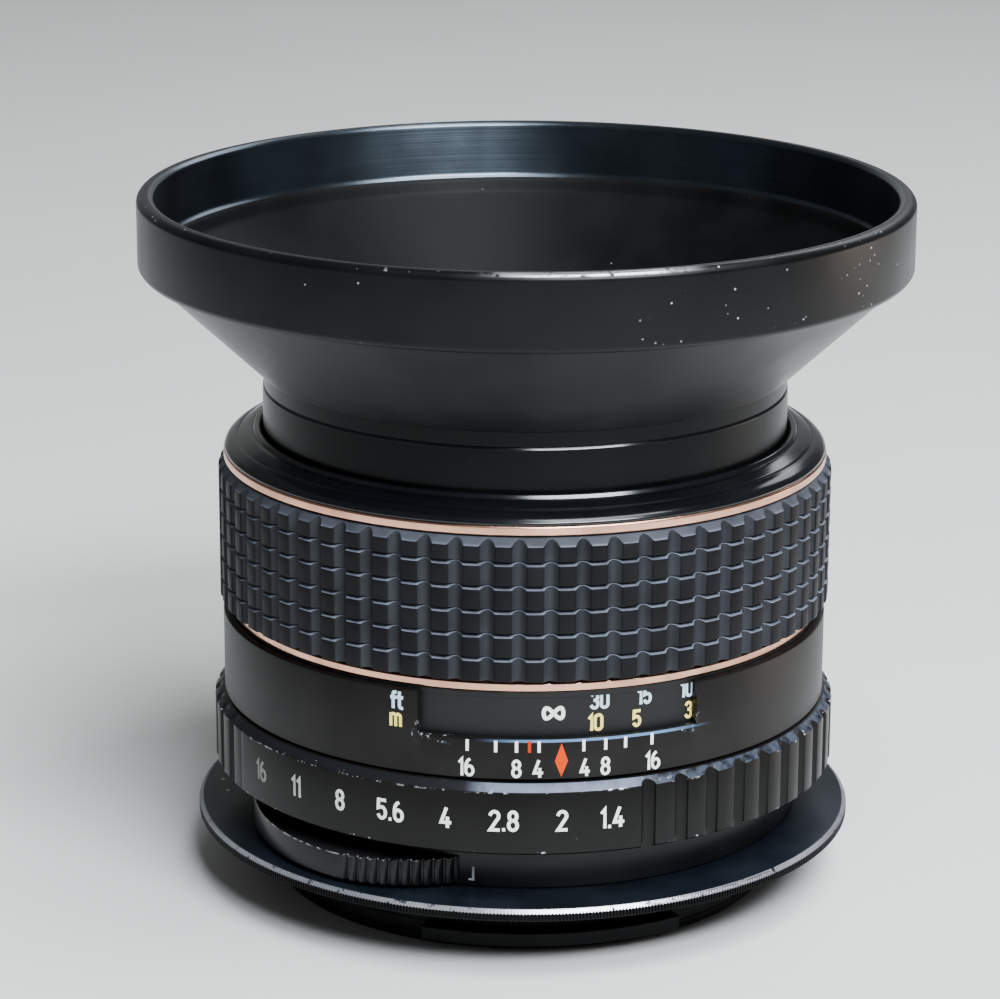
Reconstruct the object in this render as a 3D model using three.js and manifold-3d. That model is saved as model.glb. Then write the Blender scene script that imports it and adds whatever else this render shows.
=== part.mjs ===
// A 50 mm f/1.4 prime lens for a 42 mm screw mount, with a flared hood screwed into its front
// and a screw-to-bayonet adapter on its back. It stands on the adapter, front up.
// Millimetres and degrees. +Z is the optical axis, towards the front. The origin is on the axis
// at the adapter's bottom. Angles are counted from -Y (the index mark) towards +X.
import * as THREE from 'three';
import { mergeVertices } from 'three/addons/utils/BufferGeometryUtils.js';
import Module from 'manifold-3d';

// ---------------------------------------------------------------- driving dimensions
const OUTER_SIDES = 44; // facets of the rings that show
const INNER_SIDES = 32; // facets of the rings inside
const GLASS_SIDES = 22;
const GAP = 0.05; // between faces that rest on each other

// Heights above the surface that the lens stands on
const LUG_LOW = 0.9;
const LUG_HIGH = 2.3;
const REGISTER = 6.0; // the adapter's face that meets the camera
const SEAT = 7.2; // the lens's own mount face, on top of the adapter
const PLATE_TOP = 8.8; // top of the mount plate's floor
const COLLAR_TOP = 11.7;
const APERTURE_LOW = 11.9;
const APERTURE_HIGH = 19.0;
const DOF_LOW = 19.2;
const DOF_HIGH = 27.4;
const WINDOW_SILL = 23.2;
const SLEEVE_LOW = 27.65;
const GRIP_LOW = 28.9;
const GRIP_HIGH = 42.9;
const SLEEVE_HIGH = 43.9;
const FRONT_RIM = 50.3; // front of the filter ring, where the hood sits
const HOOD_TOP = 69.4;

// Radii
const THREAD = 21.0; // the 42 mm mount thread
const FLANGE = 33.0;
const BAYONET = 25.2;
const LUG = 26.8;
const COLLAR = 27.6;
const APERTURE_LAND = 31.2;
const DOF = 30.2;
const WINDOW_FLOOR = 29.25; // the distance scale behind the window
const CHROME_LOW = 29.4;
const CHROME_HIGH = 29.95;
const GRIP = 30.5;
const FILTER_RING = 26.0;
const FILTER_THREAD = 24.5; // the 49 mm filter thread
const HOOD_BASE = 26.3; // the foot of the hood's cone
const HOOD_RIM = 38.0;
const HOOD_BORE = 36.3;
const STATIC_BORE = 24.1; // bore of the fixed helicoid barrel
const CARRIER = 21.9;
const CARRIER_BORE = 20.8;

// Grip and aperture ring flutes
const GRIP_FLUTES = 64;
const GRIP_FLUTE_DEPTH = 0.7;
const GRIP_FLUTE_SHARE = 0.5; // of each pitch
const APERTURE_FLUTES = 43;
const APERTURE_FLUTE_DEPTH = 0.65;
const NUMBERS_FROM = -69.0; // the smooth band with the f-numbers
const NUMBERS_TO = 14.2;
const WINDOW_HALF_ANGLE = 26.0;

// Iris
const BLADES = 8;
const OPEN_RADIUS = 12.7;
const BLADE_OUTER = 17.2;
const BLADE_ARC = 100.0;
const BLADE_THICKNESS = 0.12;
const BLADE_STEP = 0.22; // height from one blade to the next
const BLADE_LOW = 25.6;
const PIVOT_RADIUS = 18.5;
const TAIL = 2.2; // from a blade's pivot to its drive pin
const TAIL_REST = 161.75; // direction of the drive pin with the iris fully open
const RING_TO_WIDE = 8.8; // aperture ring's turn from f/2, its rest, to f/1.4
const RING_TO_SMALL = 61.4; // and from f/2 to f/16
const BLADE_RATIO = 0.52; // a blade's turn for each degree of the aperture ring
const CAM_RATIO = 0.35; // the cam ring's turn for each degree of the aperture ring
const ARM_ANGLE = 135.0; // where the cam ring's drive arm hangs down
const SLOT_MARGIN = 4.5; // each cam slot's length past the end positions, in degrees of the aperture ring

// Depressed by the camera to stop the iris down
const PIN_ANGLE = 180.0;
const PIN_CIRCLE = 17.5;
const PIN_RADIUS = 0.75;

const SCREW_ANGLES = [105, 180, 255]; // on the side away from the index mark

// The crescent lever that switches the iris between automatic and manual
const LEVER_TAB = -48; // centre of the tab that reaches in through the collar
const LEVER_PEAK = -41;
const LEVER_LEFT = -76;
const LEVER_RIGHT = -19.6;
const LEVER_KNURL = -40.3; // the knurl runs from here to the right end
const LEVER_BULGE = 3.8;

// ---------------------------------------------------------------- colours
const BLACK_ENAMEL = { color: 0x131314, roughness: 0.35, metalness: 0.1 };
const BLACK_SATIN = { color: 0x1a1a1b, roughness: 0.5, metalness: 0.1 };
const BLACK_MATTE = { color: 0x101010, roughness: 0.8, metalness: 0.0 };
const RUBBER = { color: 0x24262a, roughness: 0.75, metalness: 0.0 };
const CHROME = { color: 0xd0ccc6, roughness: 0.2, metalness: 1.0 };
const ALUMINIUM = { color: 0xa9aaab, roughness: 0.4, metalness: 0.9 };
const BRASS = { color: 0xb08d4a, roughness: 0.35, metalness: 0.9 };
const STEEL = { color: 0x8d8f92, roughness: 0.35, metalness: 0.9 };
const GLASS = { color: 0x9fb4b0, roughness: 0.05, metalness: 0.0 };

const wasm = await Module();
wasm.setup();

const lens = new THREE.Group();

// ---------------------------------------------------------------- geometry helpers
function radians(degrees) {
  return (degrees * Math.PI) / 180;
}

function polar(radius, degrees) {
  const angle = radians(degrees);
  return new THREE.Vector2(radius * Math.sin(angle), -radius * Math.cos(angle));
}

/** Signed volume: negative where the faces point inwards. */
function volume(positions, index) {
  const corner = [new THREE.Vector3(), new THREE.Vector3(), new THREE.Vector3()];
  let total = 0;
  for (let i = 0; i < index.length; i += 3) {
    corner.forEach((point, k) => point.fromBufferAttribute(positions, index[i + k]));
    total += corner[0].dot(corner[1].cross(corner[2])) / 6;
  }
  return total;
}

/** Merges equal vertices, drops collapsed triangles and turns the faces outwards. */
function weld(geometry) {
  geometry.deleteAttribute('normal');
  geometry.deleteAttribute('uv');
  const welded = mergeVertices(geometry, 1e-4);
  const old = welded.index.array;
  const kept = [];
  for (let i = 0; i < old.length; i += 3) {
    const [a, b, c] = [old[i], old[i + 1], old[i + 2]];
    if (a !== b && b !== c && c !== a) kept.push(a, b, c);
  }
  if (volume(welded.attributes.position, kept) < 0) kept.reverse();
  welded.setIndex(kept);
  return welded;
}

/** A body turned about Z from a closed outline of [radius, height] points. */
function ring(outline, sides) {
  const points = outline.map(([radius, height]) => new THREE.Vector2(radius, height));
  points.push(points[0].clone());
  return weld(new THREE.LatheGeometry(points, sides).rotateX(Math.PI / 2));
}

/** A plain tube about Z. */
function tube(inner, outer, low, high, sides) {
  return ring([[outer, low], [outer, high], [inner, high], [inner, low]], sides);
}

function plate(shape, low, high) {
  const prism = new THREE.ExtrudeGeometry(shape, { depth: high - low, bevelEnabled: false });
  return weld(prism.translate(0, 0, low));
}

function arc(radius, from, to, steps) {
  return Array.from({ length: steps + 1 }, (_, i) => polar(radius, from + ((to - from) * i) / steps));
}

function circle(radius, sides, x = 0, y = 0) {
  const points = Array.from({ length: sides }, (_, i) => polar(radius, (360 * i) / sides));
  return points.map((point) => point.add(new THREE.Vector2(x, y)));
}

/** Part of a tube, between two angles. */
function sector(inner, outer, from, to, low, high) {
  const steps = Math.max(1, Math.round((to - from) / 8));
  const outline = [...arc(outer, from, to, steps), ...arc(inner, to, from, steps)];
  return plate(new THREE.Shape(outline), low, high);
}

/** An upright round bar at a point given by its distance from the axis and its angle. */
function post(radius, low, high, distance, degrees, sides = 8) {
  const place = polar(distance, degrees);
  const bar = new THREE.CylinderGeometry(radius, radius, high - low, sides).rotateX(Math.PI / 2);
  return weld(bar.translate(place.x, place.y, (low + high) / 2));
}

/** A round bar that lies along a radius. */
function spoke(radius, inner, outer, degrees, height, sides = 8) {
  const place = polar((inner + outer) / 2, degrees);
  const bar = new THREE.CylinderGeometry(radius, radius, outer - inner, sides);
  return weld(bar.rotateZ(radians(degrees)).translate(place.x, place.y, height));
}

function toSolid(geometry) {
  const vertProperties = Float32Array.from(geometry.attributes.position.array);
  const triVerts = Uint32Array.from(geometry.index.array);
  return new wasm.Manifold(new wasm.Mesh({ numProp: 3, vertProperties, triVerts }));
}

function toGeometry(body) {
  const mesh = body.getMesh();
  const geometry = new THREE.BufferGeometry();
  geometry.setAttribute('position', new THREE.BufferAttribute(mesh.vertProperties, 3));
  geometry.setIndex(new THREE.BufferAttribute(mesh.triVerts, 1));
  return geometry;
}

function cut(geometry, ...tools) {
  return toGeometry(tools.reduce((body, tool) => body.subtract(toSolid(tool)), toSolid(geometry)));
}

function join(geometry, ...others) {
  return toGeometry(others.reduce((body, other) => body.add(toSolid(other)), toSolid(geometry)));
}

/** Adds one named sub-part to the lens. */
function add(name, geometry, finish) {
  geometry.computeVertexNormals();
  const mesh = new THREE.Mesh(geometry, new THREE.MeshStandardMaterial(finish));
  mesh.name = name;
  lens.add(mesh);
  return mesh;
}

/** A ring with flutes between two angles; its bore is round. */
function flutedRing({ bore, land, depth, count, share, from, to, low, high }) {
  const outline = [];
  const pitch = (to - from) / count;
  for (let i = 0; i < count; i += 1) {
    const start = from + i * pitch;
    outline.push(polar(land, start));
    outline.push(polar(land, start + pitch * (1 - share)));
    outline.push(polar(land - depth, start + pitch * (1 - share / 2)));
  }
  const smooth = 360 - (to - from);
  if (smooth > pitch) outline.push(...arc(land, to, from + 360, Math.round(smooth / 7)).slice(0, -1));
  const shape = new THREE.Shape(outline);
  shape.holes.push(new THREE.Path(circle(bore, OUTER_SIDES).reverse()));
  return plate(shape, low, high);
}

/** A coil spring about an upright line. */
class Helix extends THREE.Curve {
  constructor(radius, low, high, turns) {
    super();
    Object.assign(this, { radius, low, high, turns });
  }

  getPoint(t) {
    const angle = 2 * Math.PI * this.turns * t;
    const height = this.low + (this.high - this.low) * t;
    return new THREE.Vector3(this.radius * Math.cos(angle), this.radius * Math.sin(angle), height);
  }
}

function spring({ radius, wire, low, high, turns, distance, degrees }) {
  const path = new Helix(radius, low + wire, high - wire, turns);
  const section = new THREE.Shape(circle(wire, 5));
  const coil = new THREE.ExtrudeGeometry(section, { extrudePath: path, steps: turns * 8 });
  const place = polar(distance, degrees);
  return weld(coil.translate(place.x, place.y, 0));
}

// ---------------------------------------------------------------- hood
function addHood() {
  const coneSpread = 10.8;
  const coneLow = 52.0;
  const bandLow = 62.2;
  const wall = 1.7; // along the radius
  const outline = [
    [24.25, FRONT_RIM - 2.4],
    [24.25, FRONT_RIM + GAP],
    [HOOD_BASE, FRONT_RIM + GAP],
    [HOOD_BASE, coneLow],
    [HOOD_BASE + coneSpread, bandLow],
    [HOOD_RIM, bandLow + 0.2],
    [HOOD_RIM, HOOD_TOP - 0.4],
    [HOOD_RIM - 0.4, HOOD_TOP],
    [HOOD_BORE + 0.1, HOOD_TOP],
    [HOOD_BORE, bandLow + 1.6],
    [HOOD_BASE + coneSpread - wall, bandLow],
    [HOOD_BASE - wall, coneLow],
    [23.2, FRONT_RIM - 2.4],
  ];
  add('hood', ring(outline, OUTER_SIDES + 4), BLACK_ENAMEL);
}

// ---------------------------------------------------------------- front barrel and optics
function addFrontBarrel() {
  const skirtLow = 38.2; // hidden in the focus ring, so that no gap opens at the near limit
  const webLow = 40.3;
  const webHigh = 42.0;
  const filterRing = [
    [FILTER_RING, skirtLow],
    [FILTER_RING, FRONT_RIM],
    [FILTER_THREAD, FRONT_RIM],
    [FILTER_THREAD, 47.8],
    [23.9, 47.8],
    [23.9, webHigh],
    [20.6, webHigh],
    [20.6, webLow],
    [24.9, webLow],
    [24.9, skirtLow],
  ];
  add('filter_ring', ring(filterRing, OUTER_SIDES), BLACK_ENAMEL);

  const nameRing = [
    [23.7, 45.8],
    [23.7, 47.4],
    [22.4, 47.4],
    [18.3, 46.4],
    [18.3, 45.8],
  ];
  add('front_retaining_ring', ring(nameRing, OUTER_SIDES), BLACK_SATIN);

  const slotLow = 12.6;
  const slots = [90, 270].map((at) => sector(20, 23, at - 5.4, at + 5.4, slotLow - 1, 22.0));
  const carrier = tube(CARRIER_BORE, CARRIER, slotLow, webLow - GAP, INNER_SIDES);
  add('lens_carrier', cut(carrier, ...slots), BRASS);
}

/** Height of a spherical surface at some distance from the axis; curve > 0 bulges forwards. */
function surface({ z, curve }, distance) {
  const sag = Math.abs(curve) - Math.sqrt(curve * curve - distance * distance);
  return z - Math.sign(curve) * sag;
}

function addElement(name, front, rear, edge) {
  const steps = 4;
  const points = [];
  for (let i = 0; i <= steps; i += 1) {
    const distance = (edge * i) / steps;
    points.push(new THREE.Vector2(distance, surface(rear, distance)));
  }
  for (let i = steps; i >= 0; i -= 1) {
    const distance = (edge * i) / steps;
    points.push(new THREE.Vector2(distance, surface(front, distance)));
  }
  add(name, weld(new THREE.LatheGeometry(points, GLASS_SIDES).rotateX(Math.PI / 2)), GLASS);
}

function addOptics() {
  // Seven elements in six groups: three singles, the iris, a cemented pair and two singles
  addElement('lens_element_1', { z: 46.4, curve: 34.5 }, { z: 41.2, curve: 150 }, 18.4);
  addElement('lens_element_2', { z: 41.0, curve: 21 }, { z: 36.2, curve: 29 }, 16.0);
  addElement('lens_element_3', { z: 34.8, curve: 48 }, { z: 33.3, curve: 15.5 }, 11.8);
  addElement('lens_element_4', { z: 19.0, curve: -15.8 }, { z: 17.8, curve: 90 }, 11.5);
  addElement('lens_element_5', { z: 17.77, curve: 90 }, { z: 11.6, curve: -19.5 }, 12.2);
  addElement('lens_element_6', { z: 11.4, curve: -120 }, { z: 8.0, curve: -29 }, 12.8);
  addElement('lens_element_7', { z: 7.8, curve: 60 }, { z: 4.4, curve: -110 }, 13.0);

  const frontCell = [
    [20.4, 28.8],
    [20.4, 42.1],
    [23.6, 42.1],
    [23.6, 43.4],
    [20.4, 43.4],
    [20.4, 45.7],
    [18.6, 45.7],
    [18.6, 37.4],
    [16.2, 37.4],
    [16.2, 31.2],
    [12.1, 31.2],
    [12.1, 28.8],
  ];
  add('front_cell', ring(frontCell, INNER_SIDES), ALUMINIUM);
  add('front_spacer', tube(17.0, 18.4, 37.5, 39.5, INNER_SIDES), BLACK_MATTE);

  const rearCell = [
    [15.2, 3.9],
    [15.2, 22.4],
    [20.5, 22.4],
    [20.5, 24.2],
    [11.7, 24.2],
    [11.7, 17.08],
    [12.4, 17.08],
    [12.4, 15.2],
    [13.3, 15.2],
    [13.3, 3.9],
  ];
  const sweepLow = ARM_ANGLE - RING_TO_WIDE * CAM_RATIO - 4;
  const sweepHigh = ARM_ANGLE + RING_TO_SMALL * CAM_RATIO + 4;
  const armNotch = sector(18.6, 22, sweepLow, sweepHigh, 22, 25);
  add('rear_cell', cut(ring(rearCell, INNER_SIDES), armNotch), BLACK_SATIN);
  add('doublet_spacer', tube(12.0, 13.15, 12.3, 15.1, INNER_SIDES), BLACK_MATTE);
  add('rear_spacer', tube(12.3, 13.15, 6.6, 10.7, INNER_SIDES), BLACK_MATTE);
  add('rear_retaining_ring', tube(12.2, 13.15, 3.9, 4.95, INNER_SIDES), BLACK_SATIN);
}

// ---------------------------------------------------------------- iris
/** Direction and place of a blade's drive pin, in the plane, for a turn of the blade. */
function drivePin(bladeTurn) {
  const direction = radians(TAIL_REST + bladeTurn);
  return new THREE.Vector2(TAIL * Math.cos(direction), TAIL * Math.sin(direction) - PIVOT_RADIUS);
}

/** The slot that one drive pin follows, seen from the turning cam ring. */
function camSlot(turn) {
  const steps = 5;
  const halfWidth = 0.45;
  const first = -RING_TO_WIDE - SLOT_MARGIN;
  const last = RING_TO_SMALL + SLOT_MARGIN;
  const inner = [];
  const outer = [];
  for (let i = 0; i <= steps; i += 1) {
    const ringTurn = first + ((last - first) * i) / steps;
    const pin = drivePin((ringTurn + RING_TO_WIDE) * BLADE_RATIO);
    const seen = pin.rotateAround(new THREE.Vector2(), radians(turn - ringTurn * CAM_RATIO));
    const outwards = seen.clone().normalize().multiplyScalar(halfWidth);
    inner.push(seen.clone().sub(outwards));
    outer.push(seen.clone().add(outwards));
  }
  return new THREE.Path([...inner, ...outer.reverse()]);
}

function addIris() {
  const housing = tube(13.0, 20.5, 27.7, 28.4, INNER_SIDES);
  const turns = Array.from({ length: BLADES }, (_, i) => (360 / BLADES) * i);
  const posts = turns.map((turn) => post(0.45, 25.45, 28.0, PIVOT_RADIUS, turn));
  add('iris_housing', join(housing, ...posts), BLACK_MATTE);

  const camShape = new THREE.Shape(circle(20.4, INNER_SIDES));
  camShape.holes.push(new THREE.Path(circle(13.6, INNER_SIDES).reverse()));
  camShape.holes.push(...turns.map((turn) => camSlot(turn)));
  const arm = sector(18.95, 20.1, ARM_ANGLE - 1.5, ARM_ANGLE + 1.5, 12.5, 24.9);
  add('iris_cam_ring', join(plate(camShape, 24.5, 25.2), arm), BRASS);

  turns.forEach((turn, i) => addBlade(i, turn));

  // Turned by the aperture ring; its fork holds the cam ring's arm at every focus distance
  const fork = [-4.6, 2.0].map((offset) =>
    sector(19.0, 20.1, ARM_ANGLE + offset, ARM_ANGLE + offset + 2.6, 9.6, 22.2));
  add('iris_drive_ring', join(tube(19.3, 20.6, 9.0, 10.2, INNER_SIDES), ...fork), BRASS);
}

function addBlade(number, turn) {
  const low = BLADE_LOW + BLADE_STEP * number;
  const lobe = 1.0;
  const pivotHole = 0.6;
  const toPivot = new THREE.Vector2(0, PIVOT_RADIUS);
  const tailEnd = drivePin(0).setLength(drivePin(0).length() + 0.55);
  const outline = [
    polar(OPEN_RADIUS, -1),
    ...arc(OPEN_RADIUS, 12, BLADE_ARC, 8),
    polar((OPEN_RADIUS + BLADE_OUTER) / 2, BLADE_ARC + 4),
    ...arc(BLADE_OUTER, BLADE_ARC, 9, 8),
    polar(PIVOT_RADIUS, 3.2),
    polar(PIVOT_RADIUS + lobe, 1.2),
    polar(PIVOT_RADIUS + lobe, -1.5),
    tailEnd.clone(),
    polar(PIVOT_RADIUS - 0.9, -9.2),
    polar(17.2, -7.5),
  ].map((point) => point.add(toPivot));
  const shape = new THREE.Shape(outline.reverse());
  shape.holes.push(new THREE.Path(circle(pivotHole, 8)));
  const pin = drivePin(0).add(toPivot);
  const pinBar = new THREE.CylinderGeometry(0.28, 0.28, low - 24.6, 6).rotateX(Math.PI / 2);
  pinBar.translate(pin.x, pin.y, (low + 24.6) / 2 + BLADE_THICKNESS / 2);
  const blade = join(plate(shape, low, low + BLADE_THICKNESS), weld(pinBar));
  const mesh = add(`iris_blade_${number + 1}`, blade, STEEL);
  const pivot = polar(PIVOT_RADIUS, turn);
  mesh.position.set(pivot.x, pivot.y, 0);
  mesh.rotation.z = radians(turn + RING_TO_WIDE * BLADE_RATIO);
}

// ---------------------------------------------------------------- focusing
function addFocusRing() {
  const helicoid = [
    [23.9, 11.2],
    [23.9, 33.0],
    [26.4, 33.0],
    [26.4, 37.4],
    [22.1, 37.4],
    [22.1, 11.2],
  ];
  add('focus_helicoid', ring(helicoid, INNER_SIDES), BRASS);

  const sleeve = [
    [CHROME_LOW, SLEEVE_LOW],
    [CHROME_LOW, SLEEVE_LOW + 0.85],
    [28.7, SLEEVE_LOW + 0.85],
    [28.7, GRIP_HIGH + 0.1],
    [CHROME_HIGH, GRIP_HIGH + 0.1],
    [CHROME_HIGH, SLEEVE_HIGH],
    [26.4, SLEEVE_HIGH],
    [26.4, 37.6],
    [26.7, 37.6],
    [26.7, SLEEVE_LOW],
  ];
  add('grip_sleeve', ring(sleeve, OUTER_SIDES), CHROME);

  const flutes = flutedRing({
    bore: 28.8,
    land: GRIP,
    depth: GRIP_FLUTE_DEPTH,
    count: GRIP_FLUTES,
    share: GRIP_FLUTE_SHARE,
    from: 0,
    to: 360,
    low: GRIP_LOW,
    high: GRIP_HIGH,
  });
  add('rubber_grip', flutes, RUBBER);

  const shoulder = [
    [29.85, SLEEVE_HIGH + GAP],
    [29.8, 44.15],
    [29.1, 44.85],
    [27.05, 45.8],
    [26.7, 46.15],
    [26.4, 45.8],
    [26.4, SLEEVE_HIGH + GAP],
  ];
  add('focus_ring_shoulder', ring(shoulder, OUTER_SIDES), BLACK_ENAMEL);

  const lip = 29.35; // covers the very top of the scale
  const scale = [
    [WINDOW_FLOOR, 22.6],
    [WINDOW_FLOOR, 27.1],
    [lip, 27.1],
    [lip, SLEEVE_LOW - GAP],
    [27.3, SLEEVE_LOW - GAP],
    [27.3, 22.6],
  ];
  add('distance_scale_ring', ring(scale, OUTER_SIDES), BLACK_SATIN);
}

// ---------------------------------------------------------------- fixed body
function addFixedBody() {
  const screwCircle = 24.85;
  const barrel = [
    [25.6, PLATE_TOP + GAP],
    [25.6, DOF_LOW + GAP],
    [27.0, DOF_LOW + GAP],
    [27.0, 27.2],
    [STATIC_BORE, 27.2],
    [STATIC_BORE, PLATE_TOP + GAP],
  ];
  const shankHoles = SCREW_ANGLES.map((at) => post(0.55, 8, 12.2, screwCircle, at));
  add('helicoid_barrel', cut(ring(barrel, OUTER_SIDES), ...shankHoles), ALUMINIUM);

  const scaleRoom = 29.45;
  const dof = [
    [DOF, DOF_LOW],
    [DOF, DOF_HIGH],
    [scaleRoom, DOF_HIGH],
    [scaleRoom, 22.4],
    [27.15, 22.4],
    [27.15, DOF_LOW],
  ];
  const window = sector(28, 32, -WINDOW_HALF_ANGLE, WINDOW_HALF_ANGLE, WINDOW_SILL, DOF_HIGH + 1);
  const setScrewHeight = 20.8;
  const setScrewHoles = SCREW_ANGLES.map((at) => spoke(0.75, 26.5, 32, at, setScrewHeight));
  add('depth_of_field_ring', cut(ring(dof, OUTER_SIDES), window, ...setScrewHoles), BLACK_SATIN);
  SCREW_ANGLES.forEach((at, i) => {
    add(`body_set_screw_${i + 1}`, spoke(0.65, 27.2, 29.8, at, setScrewHeight), STEEL);
  });

  addMountPlate(screwCircle);
  [90, 270].forEach((at, i) => {
    const key = sector(20.95, 21.7, at - 4.7, at + 4.7, PLATE_TOP + GAP, 20.5);
    add(`helicoid_key_${i + 1}`, key, BRASS);
  });
}

function addMountPlate(screwCircle) {
  const outline = [
    [THREAD - 0.05, 2.8],
    [THREAD - 0.05, SEAT + GAP],
    [COLLAR, SEAT + GAP],
    [COLLAR, COLLAR_TOP],
    [25.8, COLLAR_TOP],
    [25.8, PLATE_TOP],
    [18.9, PLATE_TOP],
    [18.9, 2.8],
  ];
  const boss = sector(16.0, 18.95, PIN_ANGLE - 7, PIN_ANGLE + 7, 7.5, 16.0);
  const ballHole = post(0.58, 8.95, 12.5, 26.7, 200);
  const pinBore = post(0.9, 6, 12, PIN_CIRCLE, PIN_ANGLE, 10);
  const springRoom = post(1.15, 9.4, 15.4, PIN_CIRCLE, PIN_ANGLE, 10);
  const stemHole = post(0.62, 15, 17, PIN_CIRCLE, PIN_ANGLE, 10);
  const headHoles = SCREW_ANGLES.map((at) => post(1.1, 7, 8.05, screwCircle, at, 10));
  const shankHoles = SCREW_ANGLES.map((at) => post(0.55, 7.5, 10, screwCircle, at));
  const leverSlot = sector(25, 29, LEVER_TAB - 4, LEVER_TAB + 13, 8.9, 10.15);
  const solidPlate = join(ring(outline, OUTER_SIDES), boss);
  const holes = [ballHole, pinBore, springRoom, stemHole, ...headHoles, ...shankHoles, leverSlot];
  add('mount_plate', cut(solidPlate, ...holes), BLACK_SATIN);

  SCREW_ANGLES.forEach((at, i) => {
    const head = post(0.95, 7.3, 7.95, screwCircle, at, 10);
    const shank = post(0.45, 7.8, 12.0, screwCircle, at);
    add(`mount_screw_${i + 1}`, join(head, shank), STEEL);
  });

  const ball = new THREE.SphereGeometry(0.5, 10, 6).rotateX(Math.PI / 2);
  const ballPlace = polar(26.7, 200);
  add('detent_ball', weld(ball.translate(ballPlace.x, ballPlace.y, 11.36)), STEEL);
  const ballSpring = { radius: 0.36, wire: 0.1, low: 9.0, high: 10.8, turns: 4 };
  add('detent_spring', spring({ ...ballSpring, distance: 26.7, degrees: 200 }), STEEL);
}

function addStopDownPin() {
  const lower = post(PIN_RADIUS, 2.6, 10.0, PIN_CIRCLE, PIN_ANGLE, 10);
  const collar = post(1.0, 9.6, 10.2, PIN_CIRCLE, PIN_ANGLE, 10);
  const stem = post(0.42, 10.0, 17.0, PIN_CIRCLE, PIN_ANGLE);
  add('stop_down_pin', join(lower, collar, stem), STEEL);
  const coil = { radius: 0.8, wire: 0.14, low: 10.3, high: 15.3, turns: 5 };
  add('stop_down_spring', spring({ ...coil, distance: PIN_CIRCLE, degrees: PIN_ANGLE }), STEEL);
}

// ---------------------------------------------------------------- aperture ring and lever
function addApertureRing() {
  const fluted = flutedRing({
    bore: 27.2,
    land: APERTURE_LAND,
    depth: APERTURE_FLUTE_DEPTH,
    count: APERTURE_FLUTES,
    share: 0.42,
    from: NUMBERS_TO,
    to: NUMBERS_FROM + 360,
    low: APERTURE_LOW + 0.3,
    high: 18.4,
  });
  const core = tube(25.8, 30.4, APERTURE_LOW, APERTURE_HIGH, OUTER_SIDES);
  add('aperture_ring', join(core, fluted), BLACK_SATIN);
}

/** Outer radius of the crescent lever: half a cosine each side of its peak. */
function leverRadius(degrees) {
  const reach = degrees < LEVER_PEAK ? 40 : 22;
  const share = Math.abs(degrees - LEVER_PEAK) / reach;
  return COLLAR + 0.3 + LEVER_BULGE * Math.cos((Math.PI / 2) * Math.min(1, share));
}

function addModeLever() {
  const inner = COLLAR + 0.15;
  const low = 7.65;
  const high = 10.3;
  const knurlPitch = 2.1;
  const outline = [];
  for (let at = LEVER_LEFT; at < LEVER_KNURL; at += 5.6) outline.push(polar(leverRadius(at), at));
  for (let at = LEVER_KNURL; at < LEVER_RIGHT; at += knurlPitch) {
    outline.push(polar(leverRadius(at), at));
    outline.push(polar(leverRadius(at + knurlPitch / 2) - 0.35, at + knurlPitch / 2));
  }
  outline.push(...arc(inner, LEVER_RIGHT, LEVER_LEFT, 9));
  const tab = sector(26.2, inner + 0.5, LEVER_TAB - 3, LEVER_TAB + 3, 9.05, 10.0);
  add('mode_lever', join(plate(new THREE.Shape(outline), low, high), tab), BLACK_SATIN);
}

// ---------------------------------------------------------------- bayonet adapter
function addAdapter() {
  const bore = THREAD + 0.25;
  const outline = [
    [BAYONET, 0],
    [BAYONET, REGISTER],
    [FLANGE, REGISTER],
    [FLANGE, SEAT],
    [bore, SEAT],
    [bore, 0],
  ];
  const lugs = [0, 120, 240].map((at) =>
    sector(BAYONET - 0.8, LUG, at - 28, at + 28, LUG_LOW, LUG_HIGH));
  const lockSlot = post(1.4, REGISTER - 1, SEAT + 1, 29.6, 150, 12);
  add('mount_adapter', cut(join(ring(outline, OUTER_SIDES), ...lugs), lockSlot), ALUMINIUM);
}

addHood();
addFrontBarrel();
addOptics();
addIris();
addFocusRing();
addFixedBody();
addStopDownPin();
addApertureRing();
addModeLever();
addAdapter();

export default lens;
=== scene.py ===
"""Looks of a 50 mm screw-mount lens with a flared hood and a bayonet adapter, around its CAD frame.

Sizes are millimetres and angles are degrees from -Y (the index mark) towards +X, unless a comment says
otherwise. Outer radii and heights come from the frame's own boxes. Radii inside a ring, the lens surfaces
and the bayonet's lugs are given here, because a box doesn't hold them.
"""
import math

import bpy
import numpy as np
from mathutils import Euler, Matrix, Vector


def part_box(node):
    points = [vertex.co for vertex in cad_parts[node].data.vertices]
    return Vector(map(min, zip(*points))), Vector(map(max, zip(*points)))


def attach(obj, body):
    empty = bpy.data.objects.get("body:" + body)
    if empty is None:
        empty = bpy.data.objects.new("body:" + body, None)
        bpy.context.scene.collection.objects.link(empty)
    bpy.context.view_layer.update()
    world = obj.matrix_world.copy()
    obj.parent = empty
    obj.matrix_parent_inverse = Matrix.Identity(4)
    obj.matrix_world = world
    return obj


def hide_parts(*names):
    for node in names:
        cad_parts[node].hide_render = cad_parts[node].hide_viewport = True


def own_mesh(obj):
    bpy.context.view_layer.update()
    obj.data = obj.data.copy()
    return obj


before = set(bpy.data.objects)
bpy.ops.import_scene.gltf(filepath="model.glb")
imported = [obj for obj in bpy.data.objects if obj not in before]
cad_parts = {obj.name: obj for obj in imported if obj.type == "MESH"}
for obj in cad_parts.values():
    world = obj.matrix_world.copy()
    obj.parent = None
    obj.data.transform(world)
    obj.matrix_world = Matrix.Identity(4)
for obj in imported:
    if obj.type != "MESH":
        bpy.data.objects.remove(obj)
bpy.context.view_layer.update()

MM = 0.001
COLUMNS = 288  # facets round a turned piece
SHARP = math.radians(32)  # edges steeper than this stay crisp
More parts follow.
